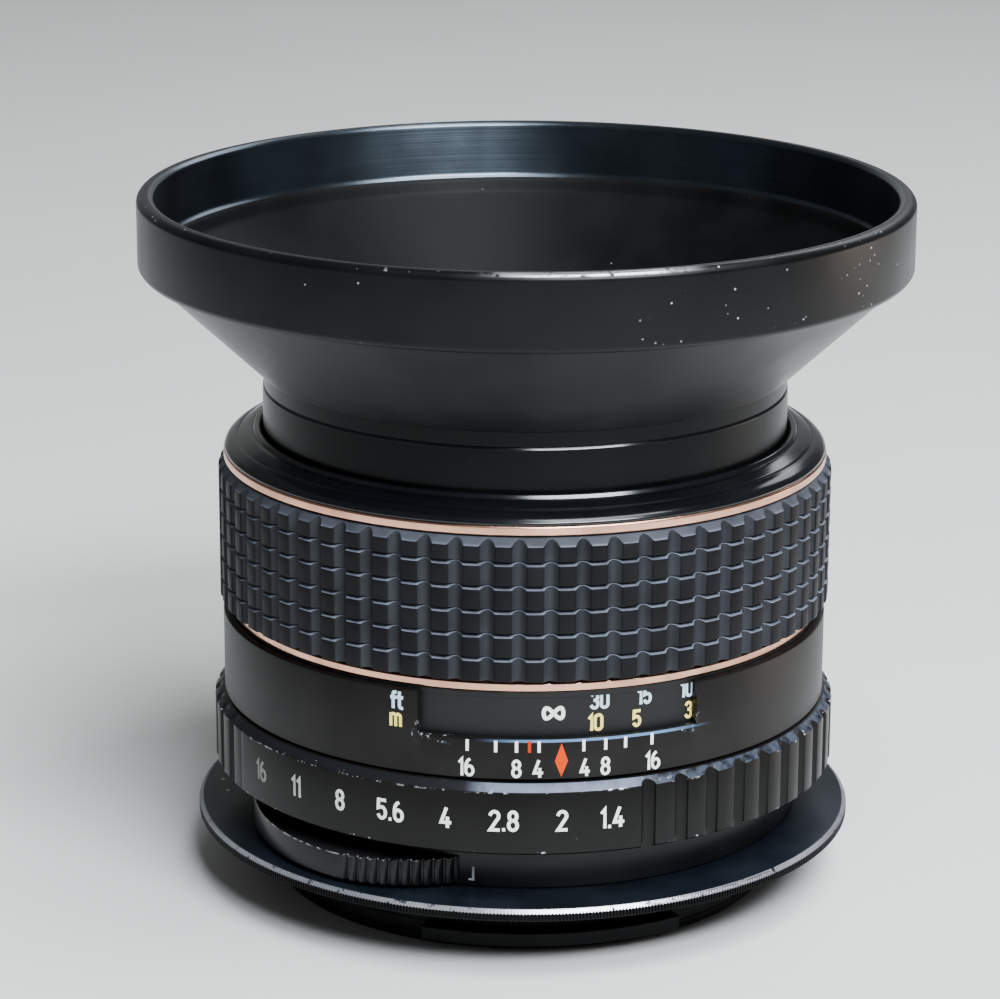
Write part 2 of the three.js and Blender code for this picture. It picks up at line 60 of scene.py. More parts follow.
FOCAL_LENGTH = 50.0


def extent(node):
    """Outer radius, lowest and highest point of a node that is round about Z."""
    low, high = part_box(node)
    return high[0] / MM, low[2] / MM, high[2] / MM


HOOD_R, HOOD_LOW, HOOD_TOP = extent("hood")
FILTER_R, FILTER_LOW, FILTER_TOP = extent("filter_ring")
SHOULDER_R, SHOULDER_LOW, _ = extent("focus_ring_shoulder")
SLEEVE_R, SLEEVE_LOW, SLEEVE_TOP = extent("grip_sleeve")
GRIP_R, GRIP_LOW, GRIP_TOP = extent("rubber_grip")
SCALE_R, SCALE_LOW, SCALE_TOP = extent("distance_scale_ring")
DOF_R, DOF_LOW, DOF_TOP = extent("depth_of_field_ring")
STOPS_R, STOPS_LOW, STOPS_TOP = extent("aperture_ring")
COLLAR_R, PLATE_LOW, _ = extent("mount_plate")
ADAPTER_R, ADAPTER_LOW, ADAPTER_TOP = extent("mount_adapter")
NAME_R, NAME_LOW, NAME_TOP = extent("front_retaining_ring")
COLLAR_TOP = 11.7  # the fixed body goes on above it, inside the aperture ring

WINDOW_END = 26.0  # the window runs this far to each side of the index mark
WINDOW_SILL = DOF_TOP - 4.2
INFINITY_AT = -1.3
HELICOID_DEGREES_PER_MM = 31.0
NUMBERS_FROM = -69.0  # the aperture ring is smooth between these two, and fluted elsewhere
NUMBERS_TO = 14.2
METRES_IN_FOOT = 0.3048
PROUD = 0.015  # painted marks stand this far out of a surface
SINK = 0.06  # and reach this far into it


# ---------------------------------------------------------------- mesh helpers
def add_mesh(name, points, faces, looks, face_slots=None):
    """One object from points in millimetres. Looks are names of MATERIALS, one for each slot."""
    mesh = bpy.data.meshes.new(name)
    mesh.from_pydata((np.asarray(points, float) * MM).tolist(), [], [tuple(face) for face in faces])
    for look in looks:
        mesh.materials.append(MATERIALS[look])
    mesh.polygons.foreach_set("use_smooth", [True] * len(mesh.polygons))
    if face_slots is not None:
        mesh.polygons.foreach_set("material_index", [int(slot) for slot in face_slots])
    mesh.validate()
    mesh.update()
    mesh.set_sharp_from_angle(angle=SHARP)
    piece = bpy.data.objects.new(name, mesh)
    bpy.context.scene.collection.objects.link(piece)
    return piece


def fit(piece, body, slot, *nodes):
    """Fixes a piece to its body, and names the CAD nodes that it takes the place of."""
    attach(piece, body)
    if nodes:
        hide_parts(*nodes)
    return piece


def around(radius, angle, height):
    """The point at this radius and height. The angle is in radians here."""
    return (radius * math.sin(angle), -radius * math.cos(angle), height)


def fillet(outline):
    """Rounds the corners of a closed outline of (radius, height, fillet) points."""
    steps = 4
    longest = 0.45  # share of an edge that one fillet may use up
    rounded = []
    slots = []
    count = len(outline)
    for i, corner in enumerate(outline):
        here = np.array(corner[:2], float)
        slot = corner[3] if len(corner) > 3 else 0
        size = corner[2] if len(corner) > 2 else 0.0
        before = np.array(outline[i - 1][:2], float)
        after = np.array(outline[(i + 1) % count][:2], float)
        back = before - here
        ahead = after - here
        reach = min(size, longest * np.linalg.norm(back), longest * np.linalg.norm(ahead))
        if reach <= 0:
            rounded.append(here)
            slots.append(slot)
            continue
        start = here + back / np.linalg.norm(back) * reach
        end = here + ahead / np.linalg.norm(ahead) * reach
        for t in np.linspace(0, 1, steps + 1):
            rounded.append((1 - t) ** 2 * start + 2 * t * (1 - t) * here + t ** 2 * end)
            slots.append(slot)
    return np.array(rounded), slots


def skin(name, angles, outlines, looks, slots=None, closed=True):
    """Joins one outline per angle into a body that runs right round Z.

    An outline that isn't closed starts and ends near the axis, and both ends are capped.
    """
    angles = np.radians(np.asarray(angles))
    outlines = np.asarray(outlines, float)
    columns, rows = outlines.shape[:2]
    radius = outlines[:, :, 0]
    x = radius * np.sin(angles)[:, None]
    y = -radius * np.cos(angles)[:, None]
    points = np.stack([x, y, outlines[:, :, 1]], axis=2).reshape(-1, 3)
    steps = rows if closed else rows - 1
    here, row = np.meshgrid(np.arange(columns), np.arange(steps), indexing="ij")
    ahead = (here + 1) % columns
    up = (row + 1) % rows
    quads = np.stack([here * rows + row, ahead * rows + row, ahead * rows + up, here * rows + up], axis=2)
    faces = quads.reshape(-1, 4).tolist()
    if not closed:
        faces.append([i * rows for i in reversed(range(columns))])
        faces.append([i * rows + rows - 1 for i in range(columns)])
    face_slots = None if slots is None else [slots[j] for j in row.ravel()]
    return add_mesh(name, points, faces, looks, face_slots)


def add_bodies(name, bodies, look):
    """One object from several closed bodies, each a list of points and a list of faces."""
    points = []
    faces = []
    for corners, sides in bodies:
        faces += [tuple(index + len(points) for index in side) for side in sides]
        points += corners
    return add_mesh(name, points, faces, [look])


def swept_faces(sections, sides):
    """Faces that join each section to the next, and close both ends."""
    faces = []
    for i in range(sections - 1):
        for j in range(sides):
            k = (j + 1) % sides
            faces.append((i * sides + j, (i + 1) * sides + j, (i + 1) * sides + k, i * sides + k))
    faces.append(tuple(range(sides)))
    faces.append(tuple((sections - 1) * sides + j for j in reversed(range(sides))))
    return faces


def turn(name, outline, looks, columns=COLUMNS):
    """A lathe-turned ring. Each outline point is (radius, height[, fillet[, material slot]])."""
    points, slots = fillet(outline)
    angles = np.arange(columns) * 360.0 / columns
    return skin(name, angles, np.broadcast_to(points, (columns, *points.shape)), looks, slots)


# ---------------------------------------------------------------- painted marks
def painted(outline, radius, centre):
    """Points of a mark drawn as (x, height) and bent round the cylinder, proud ones and then sunk ones."""
    return [around(level, math.radians(centre) + x / radius, height)
            for level in (radius + PROUD, radius - SINK) for x, height in outline]


def arc(cx, cy, rx, ry, start, end, steps=10):
    """Points along an ellipse, from one angle to another."""
    angles = np.radians(np.linspace(start, end, steps + 1))
    return [(cx + rx * math.cos(a), cy + ry * math.sin(a)) for a in angles]


W = 0.44  # width of a digit's centre lines, for a height of 1
H = W / 2
INFINITY = "o"  # stands for the infinity sign in a label

GLYPHS = {  # strokes of each sign, in a box one high
    "0": [arc(H, 1 - H, H, H, 0, 180) + arc(H, H, H, H, 180, 360) + [(W, 1 - H)]],
    "1": [[(0.02, 0.80), (0.17, 1.0), (0.17, 0.0)]],
    "2": [arc(H, 0.76, H, 0.24, 165, -25) + [(0.0, 0.0), (W, 0.0)]],
    "3": [arc(H, 0.765, H * 0.92, 0.235, 155, -90), arc(H, 0.265, H, 0.265, 90, -155)],
    "4": [[(W * 0.6, 1.0), (0.0, 0.24), (W * 1.08, 0.24)], [(W * 0.76, 0.5), (W * 0.76, 0.0)]],
    "5": [[(W * 0.95, 1.0), (W * 0.1, 1.0), (W * 0.05, 0.55)] + arc(H, 0.31, H, 0.31, 115, -150)],
    "6": [arc(H, 0.29, H, 0.29, 0, 360, 18),
          arc(H * 1.5, 0.5, H * 1.5, 0.52, 110, 178) + [(0.0, 0.3)]],
    "7": [[(0.0, 1.0), (W, 1.0), (W * 0.35, 0.0)]],
    "8": [arc(H, 0.76, H * 0.88, 0.24, 0, 360, 16), arc(H, 0.265, H, 0.265, 0, 360, 16)],
    ".": [[(0.0, 0.02), (0.05, 0.02)]],
    "f": [[(0.3, 1.0)] + arc(0.24, 0.86, 0.1, 0.14, 90, 180, 5) + [(0.14, 0.0)],
          [(0.0, 0.66), (0.3, 0.66)]],
    "t": [[(0.12, 1.0), (0.12, 0.16)] + arc(0.24, 0.14, 0.12, 0.14, 180, 270, 5) + [(0.3, 0.0)],
          [(0.0, 0.68), (0.3, 0.68)]],
    "m": [[(0.0, 0.0), (0.0, 0.72)],
          arc(0.16, 0.56, 0.16, 0.16, 180, 0, 8) + [(0.32, 0.0)],
          arc(0.48, 0.56, 0.16, 0.16, 180, 0, 8) + [(0.64, 0.0)]],
    INFINITY: [[(0.62 + 0.62 * math.cos(t), 0.5 + 0.702 * math.sin(t) * math.cos(t))
                for t in np.linspace(0, 2 * math.pi, 49)]],
}
GLYPH_WIDTH = {"1": 0.17, ".": 0.05, "f": 0.3, "t": 0.3, "m": 0.64, INFINITY: 1.24}


def stroke_solid(path, half, radius, centre):
    """A flat-ended painted stroke along a path of (x, height), bent round the cylinder."""
    end_reach = 0.6  # how far an open end runs past its last point, in half widths
    sharpest = 0.45  # limits how far a mitre reaches at a tight corner
    path = np.array(path, float)
    keep = [0] + [i for i in range(1, len(path)) if np.linalg.norm(path[i] - path[i - 1]) > 1e-4]
    path = path[keep]
    closed = np.linalg.norm(path[0] - path[-1]) < 1e-3 and len(path) > 4
    if closed:
        path = path[:-1]
    else:
        head = path[0] - path[1]
        tail = path[-1] - path[-2]
        path[0] += head / np.linalg.norm(head) * half * end_reach
        path[-1] += tail / np.linalg.norm(tail) * half * end_reach
    count = len(path)
    left = []
    right = []
    for i in range(count):
        before = path[i] - path[i - 1] if closed or i else path[1] - path[0]
        after = path[(i + 1) % count] - path[i] if closed or i < count - 1 else before
        a = before / np.linalg.norm(before)
        b = after / np.linalg.norm(after)
        normal = np.array([-(a + b)[1], (a + b)[0]])
        normal /= max(np.linalg.norm(normal), 1e-6)
        across = np.array([-a[1], a[0]])
        reach = half / max(sharpest, float(np.dot(normal, across)))
        left.append(path[i] + normal * reach)
        right.append(path[i] - normal * reach)
    faces = []
    rails = (0, count, 3 * count, 2 * count)  # round the stroke's section: two edges above, two below
    for i in range(count if closed else count - 1):
        j = (i + 1) % count
        for a, b in zip(rails, rails[1:] + rails[:1]):
            faces.append((a + i, b + i, b + j, a + j))
    if not closed:
        end = count - 1
        faces.append(tuple(reversed(rails)))
        faces.append(tuple(rail + end for rail in rails))
    return painted(left + right, radius, centre), faces


def lettering(name, labels, radius, look, weight=0.15, gap=0.23):
    """Painted numbers: labels are (text, angle, height of the centre, size)."""
    bodies = []
    for text, centre, middle, size in labels:
        half = weight * size / 2
        inner = size - 2 * half
        widths = [GLYPH_WIDTH.get(letter, W) for letter in text]
        cursor = -(sum(widths) + gap * (len(widths) - 1)) * inner / 2
        for letter, width in zip(text, widths):
            for stroke in GLYPHS[letter]:
                path = [(cursor + x * inner, middle + (y - 0.5) * inner) for x, y in stroke]
                bodies.append(stroke_solid(path, half, radius, centre))
            cursor += (width + gap) * inner
    return add_bodies(name, bodies, look)


def patch(name, outlines, radius, look):
    """Flat painted marks: each outline is (angle, [(x, height), ...]) in turning order."""
    bodies = [(painted(outline, radius, at), swept_faces(2, len(outline))) for at, outline in outlines]
    return add_bodies(name, bodies, look)


def tick(angle, low, high, width):
    """An upright line's outline, for patch()."""
    return (angle, [(-width / 2, low), (width / 2, low), (width / 2, high), (-width / 2, high)])


# ---------------------------------------------------------------- materials
class Graph:
    """A Principled material and short ways to wire its nodes. Lengths in it are millimetres."""

    def __init__(self, name, roughness=0.5, metallic=0.0, **fixed):
        self.material = bpy.data.materials.new(name)
        self.material.use_nodes = True
        self.nodes = self.material.node_tree.nodes
        self.links = self.material.node_tree.links
        self.bsdf = self.nodes["Principled BSDF"]
        self.bsdf.inputs["Roughness"].default_value = roughness
        self.bsdf.inputs["Metallic"].default_value = metallic
        for key, value in fixed.items():
            self.bsdf.inputs[key.replace("_", " ")].default_value = value
        place = self.nodes.new("ShaderNodeTexCoord").outputs["Object"]
        scale = self.nodes.new("ShaderNodeVectorMath")
        scale.operation = "SCALE"
        scale.inputs["Scale"].default_value = 1 / MM
        self.links.new(place, scale.inputs[0])
        self.place = scale.outputs["Vector"]
        split = self.nodes.new("ShaderNodeSeparateXYZ")
        self.links.new(self.place, split.inputs[0])
        self.x, self.y, self.z = split.outputs
        square = self.math("ADD", self.times(self.x, self.x), self.times(self.y, self.y))
        self.radius = self.math("SQRT", square)
        turned = self.math("ARCTAN2", self.x, self.times(self.y, -1.0))
        self.azimuth = self.math("DEGREES", turned)  # from the index mark towards +X

    def plug(self, value, socket):
        if isinstance(value, bpy.types.NodeSocket):
            self.links.new(value, socket)
        elif isinstance(value, tuple):
            socket.default_value = (*value, 1.0)
        else:
            socket.default_value = value

    def math(self, operation, a, b=None):
        node = self.nodes.new("ShaderNodeMath")
        node.operation = operation
        self.plug(a, node.inputs[0])
        if b is not None:
            self.plug(b, node.inputs[1])
        return node.outputs[0]

    def times(self, first, *others):
        for other in others:
            first = self.math("MULTIPLY", first, other)
        return first

    def most(self, a, b):
        return self.math("MAXIMUM", a, b)

    def ramp(self, value, low, high, out_low=0.0, out_high=1.0):
        """Goes smoothly from out_low to out_high while the value goes from low to high."""
        node = self.nodes.new("ShaderNodeMapRange")
        node.interpolation_type = "SMOOTHSTEP"
        self.plug(value, node.inputs["Value"])
        for key, number in zip(("From Min", "From Max", "To Min", "To Max"), (low, high, out_low, out_high)):
            node.inputs[key].default_value = number
        return node.outputs["Result"]

    def band(self, value, low, high, soft):
        """1 between low and high, with edges twice as wide as soft."""
        rise = self.ramp(value, low - soft, low + soft)
        fall = self.ramp(value, high - soft, high + soft, 1.0, 0.0)
        return self.times(rise, fall)

    def noise(self, size, detail=3.0, roughness=0.5, place=None):
        """Noise whose blobs are about size millimetres across."""
        node = self.nodes.new("ShaderNodeTexNoise")
        node.inputs["Scale"].default_value = 1.0 / size
        node.inputs["Detail"].default_value = detail
        node.inputs["Roughness"].default_value = roughness
        self.links.new(place or self.place, node.inputs["Vector"])
        return node.outputs["Fac"]

    def blots(self, size, low, high, detail=3.0, roughness=0.5, out_low=0.0, out_high=1.0):
        """Ragged patches: noise cut off between low and high."""
        return self.ramp(self.noise(size, detail, roughness), low, high, out_low, out_high)

    def lathe_lines(self, size):
        """Noise that only changes across lathe marks, so it makes lines that run round the axis."""
        node = self.nodes.new("ShaderNodeCombineXYZ")
        self.plug(self.radius, node.inputs[0])
        self.plug(self.z, node.inputs[1])
        return self.noise(size, 2.0, 0.6, node.outputs[0])

    def specks(self, spacing, size):
        """Small round dots, one in each cell of the given spacing."""
        node = self.nodes.new("ShaderNodeTexVoronoi")
        node.inputs["Scale"].default_value = 1.0 / spacing
        self.links.new(self.place, node.inputs["Vector"])
        return self.ramp(node.outputs["Distance"], size * 0.6, size, 1.0, 0.0)

    def mix(self, factor, a, b):
        node = self.nodes.new("ShaderNodeMix")
        node.data_type = "RGBA"
        self.plug(factor, node.inputs[0])
        self.plug(a, node.inputs[6])
        self.plug(b, node.inputs[7])
        return node.outputs[2]

    def blend(self, factor, a, b):
        """A number between a and b."""
        span = self.times(self.math("SUBTRACT", b, a), factor)
        return self.math("ADD", span, a)

    def facing_up(self, low, high):
        """1 on faces that look up, where hands polish and where a painted highlight goes."""
        normal = self.nodes.new("ShaderNodeNewGeometry").outputs["Normal"]
        split = self.nodes.new("ShaderNodeSeparateXYZ")
        self.links.new(normal, split.inputs[0])
        return self.ramp(split.outputs["Z"], low, high)

    def color(self, value):
        self.plug(value, self.bsdf.inputs["Base Color"])

    def rough(self, value):
        self.plug(value, self.bsdf.inputs["Roughness"])

    def metal(self, value):
        self.plug(value, self.bsdf.inputs["Metallic"])

    def lathe_shine(self, amount):
        """Stretches highlights across lathe marks that run round the axis."""
        tangent = self.nodes.new("ShaderNodeTangent")
        tangent.direction_type = "RADIAL"
        tangent.axis = "Z"
        self.links.new(tangent.outputs[0], self.bsdf.inputs["Tangent"])
        self.bsdf.inputs["Anisotropic"].default_value = amount
        self.bsdf.inputs["Anisotropic Rotation"].default_value = 0.25

    def bump(self, height, strength, distance):
        """distance is the height of the bumps in millimetres."""
        node = self.nodes.new("ShaderNodeBump")
        node.inputs["Strength"].default_value = strength
        node.inputs["Distance"].default_value = distance * MM
        self.plug(height, node.inputs["Height"])
        previous = self.bsdf.inputs["Normal"].links
        if previous:
            self.links.new(previous[0].from_socket, node.inputs["Normal"])
        self.links.new(node.outputs["Normal"], self.bsdf.inputs["Normal"])


BARE_METAL = (0.52, 0.52, 0.53)
DUST = (0.42, 0.40, 0.37)
FINE = 0.01  # height of the finest bumps


def enamel(name, base, roughness, grain, worn=None, dusty=0.3, lathe=0.0, lines=0.16, shine=0.5):
    """Black paint on metal: uneven gloss, fine orange peel, dust specks and worn edges."""
    g = Graph(name, roughness, Specular_IOR_Level=shine)
    cloud = g.noise(7.0, 4.0)
    tint = g.mix(g.ramp(cloud, 0.3, 0.75), base, tuple(c * 1.35 + 0.001 for c in base))
    dots = g.times(g.specks(2.6, 0.045), g.blots(9.0, 0.52, 0.66, 2.0), dusty)
    color = g.mix(dots, tint, DUST)
    rough = g.blend(g.ramp(cloud, 0.3, 0.75), roughness * 0.94, roughness * 1.1)
    if worn:
        wear = worn(g)
        color = g.mix(wear, color, BARE_METAL)
        g.metal(wear)
        rough = g.blend(wear, rough, 0.3)
    g.color(color)
    g.rough(rough)
    g.bump(g.noise(0.35), grain, FINE)
    if lathe:
        g.bump(g.lathe_lines(lines), lathe, FINE)
        g.lathe_shine(lathe)
    return g.material


def rim_wear_and_highlight(g):
    """Paint worn off the hood's top outer edge, with small chips below. The bare metal on the edge is kept to
    the front right, where it is partly wear and partly a painted highlight.
    """
    edge = g.times(g.ramp(g.z, HOOD_TOP - 0.4, HOOD_TOP - 0.15), g.ramp(g.radius, HOOD_R - 0.9, HOOD_R - 0.5))
    # partly wear, partly painted highlight: bare metal on the edge only at the front, where the rim's
    # highlight falls
    highlight_patch = g.times(edge, g.band(g.azimuth, -9.0, 14.0, 5.0), g.blots(1.3, 0.34, 0.48, 5.0, 0.65))
    nicks = g.times(edge, g.blots(1.0, 0.66, 0.70, 4.0, 0.7))
    sparse = g.times(g.band(g.azimuth, 10.0, 44.0, 4.0), g.blots(2.6, 0.52, 0.58))
    dense = g.times(g.band(g.azimuth, 45.0, 60.0, 3.0), g.blots(2.6, 0.42, 0.48))
    outside = g.ramp(g.radius, HOOD_R - 0.4, HOOD_R - 0.3)
    chips = g.times(g.most(sparse, dense), outside, g.specks(0.9, 0.14))
    return g.most(g.most(highlight_patch, nicks), chips)


def stops_wear(g):
    """Bright corners of the aperture ring's lands."""
    top = g.band(g.z, STOPS_TOP - 0.82, STOPS_TOP - 0.62, 0.05)
    top = g.times(top, g.ramp(g.radius, STOPS_R - 0.25, STOPS_R - 0.1))
    bottom = g.band(g.z, STOPS_LOW + 0.2, STOPS_LOW + 0.5, 0.06)
    bottom = g.times(bottom, g.ramp(g.radius, STOPS_R - 0.2, STOPS_R - 0.1))
    ragged = g.blots(0.9, 0.55, 0.62, 5.0, 0.7)
    rare = g.blots(1.1, 0.62, 0.68, 5.0, 0.7)
    return g.most(g.times(top, ragged), g.times(bottom, rare))


def lever_wear(g):
    """Bright upper corners on the lever's knurl."""
    corner = g.band(g.facing_up(0.0, 1.0), 0.15, 0.9, 0.05)
    knurl = g.band(g.azimuth, -62.0, -18.0, 3.0)
    return g.times(corner, knurl, g.blots(0.5, 0.46, 0.6, 4.0, 0.7, out_high=0.6))


def bevel_highlight():
    """The aperture ring's bevel: a painted highlight, blue-grey near the index, a fainter blue sheen over the
    fluted part and darker elsewhere, with pale nicks of wear.
    """
    g = Graph("stops_bevel", 0.35, Specular_IOR_Level=0.12)
    # painted highlight: blotchy blue-grey near the index
    highlight_patch = g.times(g.band(g.azimuth, -15.0, 15.0, 2.5), g.blots(2.0, 0.3, 0.55, 5.0, 0.6, out_low=0.6))
    # painted sheen: faint blue over the fluted part of the bevel
    fluted = g.times(g.ramp(g.azimuth, 14.0, 17.0), g.blots(1.2, 0.35, 0.6, 5.0, 0.6))
    color = g.mix(fluted, (0.008, 0.0085, 0.010), (0.04, 0.048, 0.068))
    color = g.mix(highlight_patch, color, (0.13, 0.15, 0.20))
    g.color(g.mix(g.blots(0.9, 0.66, 0.70, 5.0, 0.7), color, (0.45, 0.45, 0.46)))
    g.rough(g.blend(g.noise(1.2, 4.0), 0.28, 0.5))
    g.bump(g.noise(0.3), 0.2, FINE)
    return g.material


def window_edge():
    """Black ring with a painted blue highlight along the window's sill, and pale scratches at the window's
    corners.
    """
    g = Graph("window_edge", 0.36, Specular_IOR_Level=0.2)
    level = g.band(g.z, WINDOW_SILL - 0.26, WINDOW_SILL - 0.03, 0.02)
    # painted highlight: a glossier blue band along the sill, right of the index
    sill_highlight = g.times(level, g.band(g.azimuth, -10.0, 24.0, 6.0))
    left_end = g.band(g.azimuth, -WINDOW_END - 1.2, -WINDOW_END + 6.0, 0.8)
    right_end = g.band(g.azimuth, 21.0, WINDOW_END + 0.6, 0.5)
    near_sill = g.band(g.z, WINDOW_SILL - 0.5, WINDOW_SILL + 1.2, 0.4)
    scratched = g.times(g.most(left_end, right_end), near_sill, g.blots(0.5, 0.56, 0.66, 6.0, 0.7))
    color = g.mix(g.blots(6.0, 0.35, 0.7, 4.0), (0.0035, 0.003, 0.0028), (0.007, 0.006, 0.0055))
    color = g.mix(sill_highlight, color, (0.10, 0.17, 0.30))
    g.color(g.mix(scratched, color, (0.30, 0.33, 0.36)))
    g.rough(g.blend(sill_highlight, 0.4, 0.25))
    g.bump(g.noise(0.35), 0.35, FINE)
    return g.material


def bright_metal(name, base, roughness):
    """Turned and polished metal with fine lines round the axis."""
    g = Graph(name, roughness, 1.0)
    smudge = g.noise(4.0, 4.0)
    g.color(g.mix(g.ramp(smudge, 0.3, 0.75), base, tuple(c * 0.72 for c in base)))
    g.rough(g.blend(g.ramp(smudge, 0.3, 0.7), roughness * 0.8, roughness * 1.6))
    g.bump(g.lathe_lines(0.07), 0.5, 0.6 * FINE)
    return g.material


def anodised_bore():
    """Blue-black anodising that shows the coarse lathe lines below it."""
    g = Graph("anodised_bore", 0.3, 1.0)
    cloud = g.blots(8.0, 0.3, 0.75)
    g.color(g.mix(cloud, (0.080, 0.098, 0.118), (0.100, 0.122, 0.146)))
    g.rough(g.blend(cloud, 0.28, 0.33))
    g.bump(g.lathe_lines(0.5), 0.9, 3 * FINE)
    g.lathe_shine(0.8)
    return g.material


def moulded_rubber():
    """Charcoal rubber: fine grain, flutes painted lighter than the lands (dust, and painted sheen for the
    light caught in them), and a painted highlight on the upward slopes between the blocks.
    """
    g = Graph("rubber", 0.6, Specular_IOR_Level=0.13)
    cloud = g.noise(5.0, 4.0)
    # painted sheen: the flutes get a lighter colour than the lands, partly dust and partly standing for the
    # light the flutes catch
    flute = g.band(g.radius, GRIP_R - 0.72, GRIP_R - 0.16, 0.08)
    dusty = g.times(flute, g.ramp(cloud, 0.25, 0.7, 0.5, 1.0))
    land = g.mix(g.ramp(cloud, 0.35, 0.7), (0.003, 0.0031, 0.0036), (0.006, 0.0063, 0.0074))
    color = g.mix(dusty, land, (0.026, 0.028, 0.032))
    # painted highlight: upward-facing slopes painted pale blue-grey, weaker near the top edge
    ledge = g.times(g.facing_up(0.25, 0.55), g.blots(1.8, 0.3, 0.6, 4.0, out_low=0.55))
    ledge = g.times(ledge, g.ramp(g.z, GRIP_TOP - 0.9, GRIP_TOP - 0.6, 1.0, 0.3))
    g.color(g.mix(ledge, color, (0.13, 0.145, 0.18)))
    g.rough(g.blend(ledge, g.blend(cloud, 0.42, 0.6), 0.34))
    g.bump(g.noise(0.11, 4.0, 0.6), 0.3, 1.5 * FINE)
    g.bump(g.times(g.specks(1.5, 0.05), g.blots(6.0, 0.58, 0.68)), 0.4, 2 * FINE)
    return g.material


def paint(name, base, roughness=0.55, dim_left=False):
    """Paint filled into engraving: slightly dirty, worn thin in places; with the dim-left flag it darkens
    towards the left end of the row.
    """
    g = Graph(name, roughness, Specular_IOR_Level=0.06)
    dirt = g.blots(0.5, 0.56, 0.78, 4.0, 0.6)
    color = g.mix(dirt, base, tuple(c * 0.5 for c in base))
    if dim_left:
        # darker towards the left end (towards f/16)
        color = g.mix(g.ramp(g.azimuth, -68.0, -24.0, 0.16, 1.0), (0.02, 0.018, 0.015), color)
    g.color(color)
    g.rough(g.blend(dirt, roughness, roughness + 0.2))
    g.bump(g.noise(0.2), 0.3, FINE)
    return g.material


def matte_black():
    g = Graph("matte_black", 0.85)
    g.color(g.mix(g.noise(2.0, 4.0), (0.004, 0.004, 0.004), (0.011, 0.011, 0.011)))
    g.bump(g.noise(0.3, 4.0), 0.4, 2 * FINE)
    return g.material


def pale_floor():
    g = Graph("floor", 0.55)
    g.color(g.mix(g.noise(60.0, 4.0), (0.66, 0.645, 0.62), (0.72, 0.705, 0.68)))
    g.bump(g.noise(1.5), 0.1, 0.05)
    return g.material


def coated_glass(name, film):
    """Optical glass with a thin reflecting coat, film nanometres thick; dust is the only texture on it."""
    g = Graph(name, 0.0, Transmission_Weight=1.0, IOR=1.62, Thin_Film_Thickness=film, Thin_Film_IOR=1.38)
    g.color((0.97, 0.985, 0.98))
    g.rough(g.times(g.specks(3.0, 0.03), g.blots(6.0, 0.5, 0.6), 0.4))
    return g.material


def adapter_paint():
    """Blue-black coating, worn to bright metal along the milled edge's upper corner; the bare metal is
    strongest at the front, partly as a painted highlight.
    """
    g = Graph("adapter_black", 0.35, Specular_IOR_Level=0.16)
    cloud = g.noise(6.0, 4.0)
    base = g.mix(g.ramp(cloud, 0.3, 0.7), (0.003, 0.0045, 0.007), (0.006, 0.0085, 0.012))
    corner = g.ramp(g.radius, ADAPTER_R - 0.5, ADAPTER_R - 0.34)
    corner = g.times(corner, g.ramp(g.z, ADAPTER_TOP - 0.42, ADAPTER_TOP - 0.3))
    # partly painted highlight: the bare corner is weighted to the front, where the edge's highlight falls
    front = g.ramp(g.band(g.azimuth, -24.0, 48.0, 20.0), 0.0, 1.0, 0.22, 1.0)
    worn = g.times(corner, g.blots(1.4, 0.33, 0.45, 5.0, 0.65), front)
    scuffs = g.times(g.specks(4.2, 0.09), g.blots(8.0, 0.55, 0.62))
    wear = g.most(worn, scuffs)
    g.color(g.mix(wear, base, (0.6, 0.6, 0.63)))
    g.metal(wear)
    g.rough(g.blend(wear, g.blend(cloud, 0.26, 0.42), 0.3))
    g.bump(g.lathe_lines(0.12), 0.3, FINE)
    g.lathe_shine(0.5)
    return g.material


ENAMELS = {
    "hood_band": dict(base=(0.002, 0.002, 0.0022), roughness=0.32, grain=0.3, worn=rim_wear_and_highlight, dusty=0.8,
                      shine=0.16),
    "hood_cone": dict(base=(0.002, 0.0023, 0.003), roughness=0.36, grain=0.4, lathe=0.9, lines=0.25,
                      shine=0.35),
    "hood_inside": dict(base=(0.002, 0.002, 0.002), roughness=0.5, grain=0.4, dusty=0.8, lathe=0.3,
                        shine=0.08),
    "gloss": dict(base=(0.002, 0.0025, 0.0035), roughness=0.17, grain=0.1, dusty=0.4, lathe=0.2),
    "neck": dict(base=(0.002, 0.002, 0.0022), roughness=0.3, grain=0.2, dusty=0.4, lathe=0.2, shine=0.1),
    "satin": dict(base=(0.0035, 0.003, 0.0028), roughness=0.40, grain=0.35, shine=0.16),
    "lever": dict(base=(0.0035, 0.0035, 0.004), roughness=0.32, grain=0.3, worn=lever_wear, shine=0.25),
    "stops": dict(base=(0.0035, 0.0032, 0.003), roughness=0.36, grain=0.35, worn=stops_wear, dusty=0.4,
                  shine=0.18),
    "scale": dict(base=(0.004, 0.004, 0.004), roughness=0.5, grain=0.3, dusty=0.5, shine=0.3),
    "collar": dict(base=(0.003, 0.0035, 0.0045), roughness=0.3, grain=0.2, dusty=0.4, lathe=0.2,
                   shine=0.25),
    "adapter_low": dict(base=(0.002, 0.002, 0.0022), roughness=0.45, grain=0.2, lathe=0.2, shine=0.1),
}
WHITE = (0.92, 0.91, 0.87)
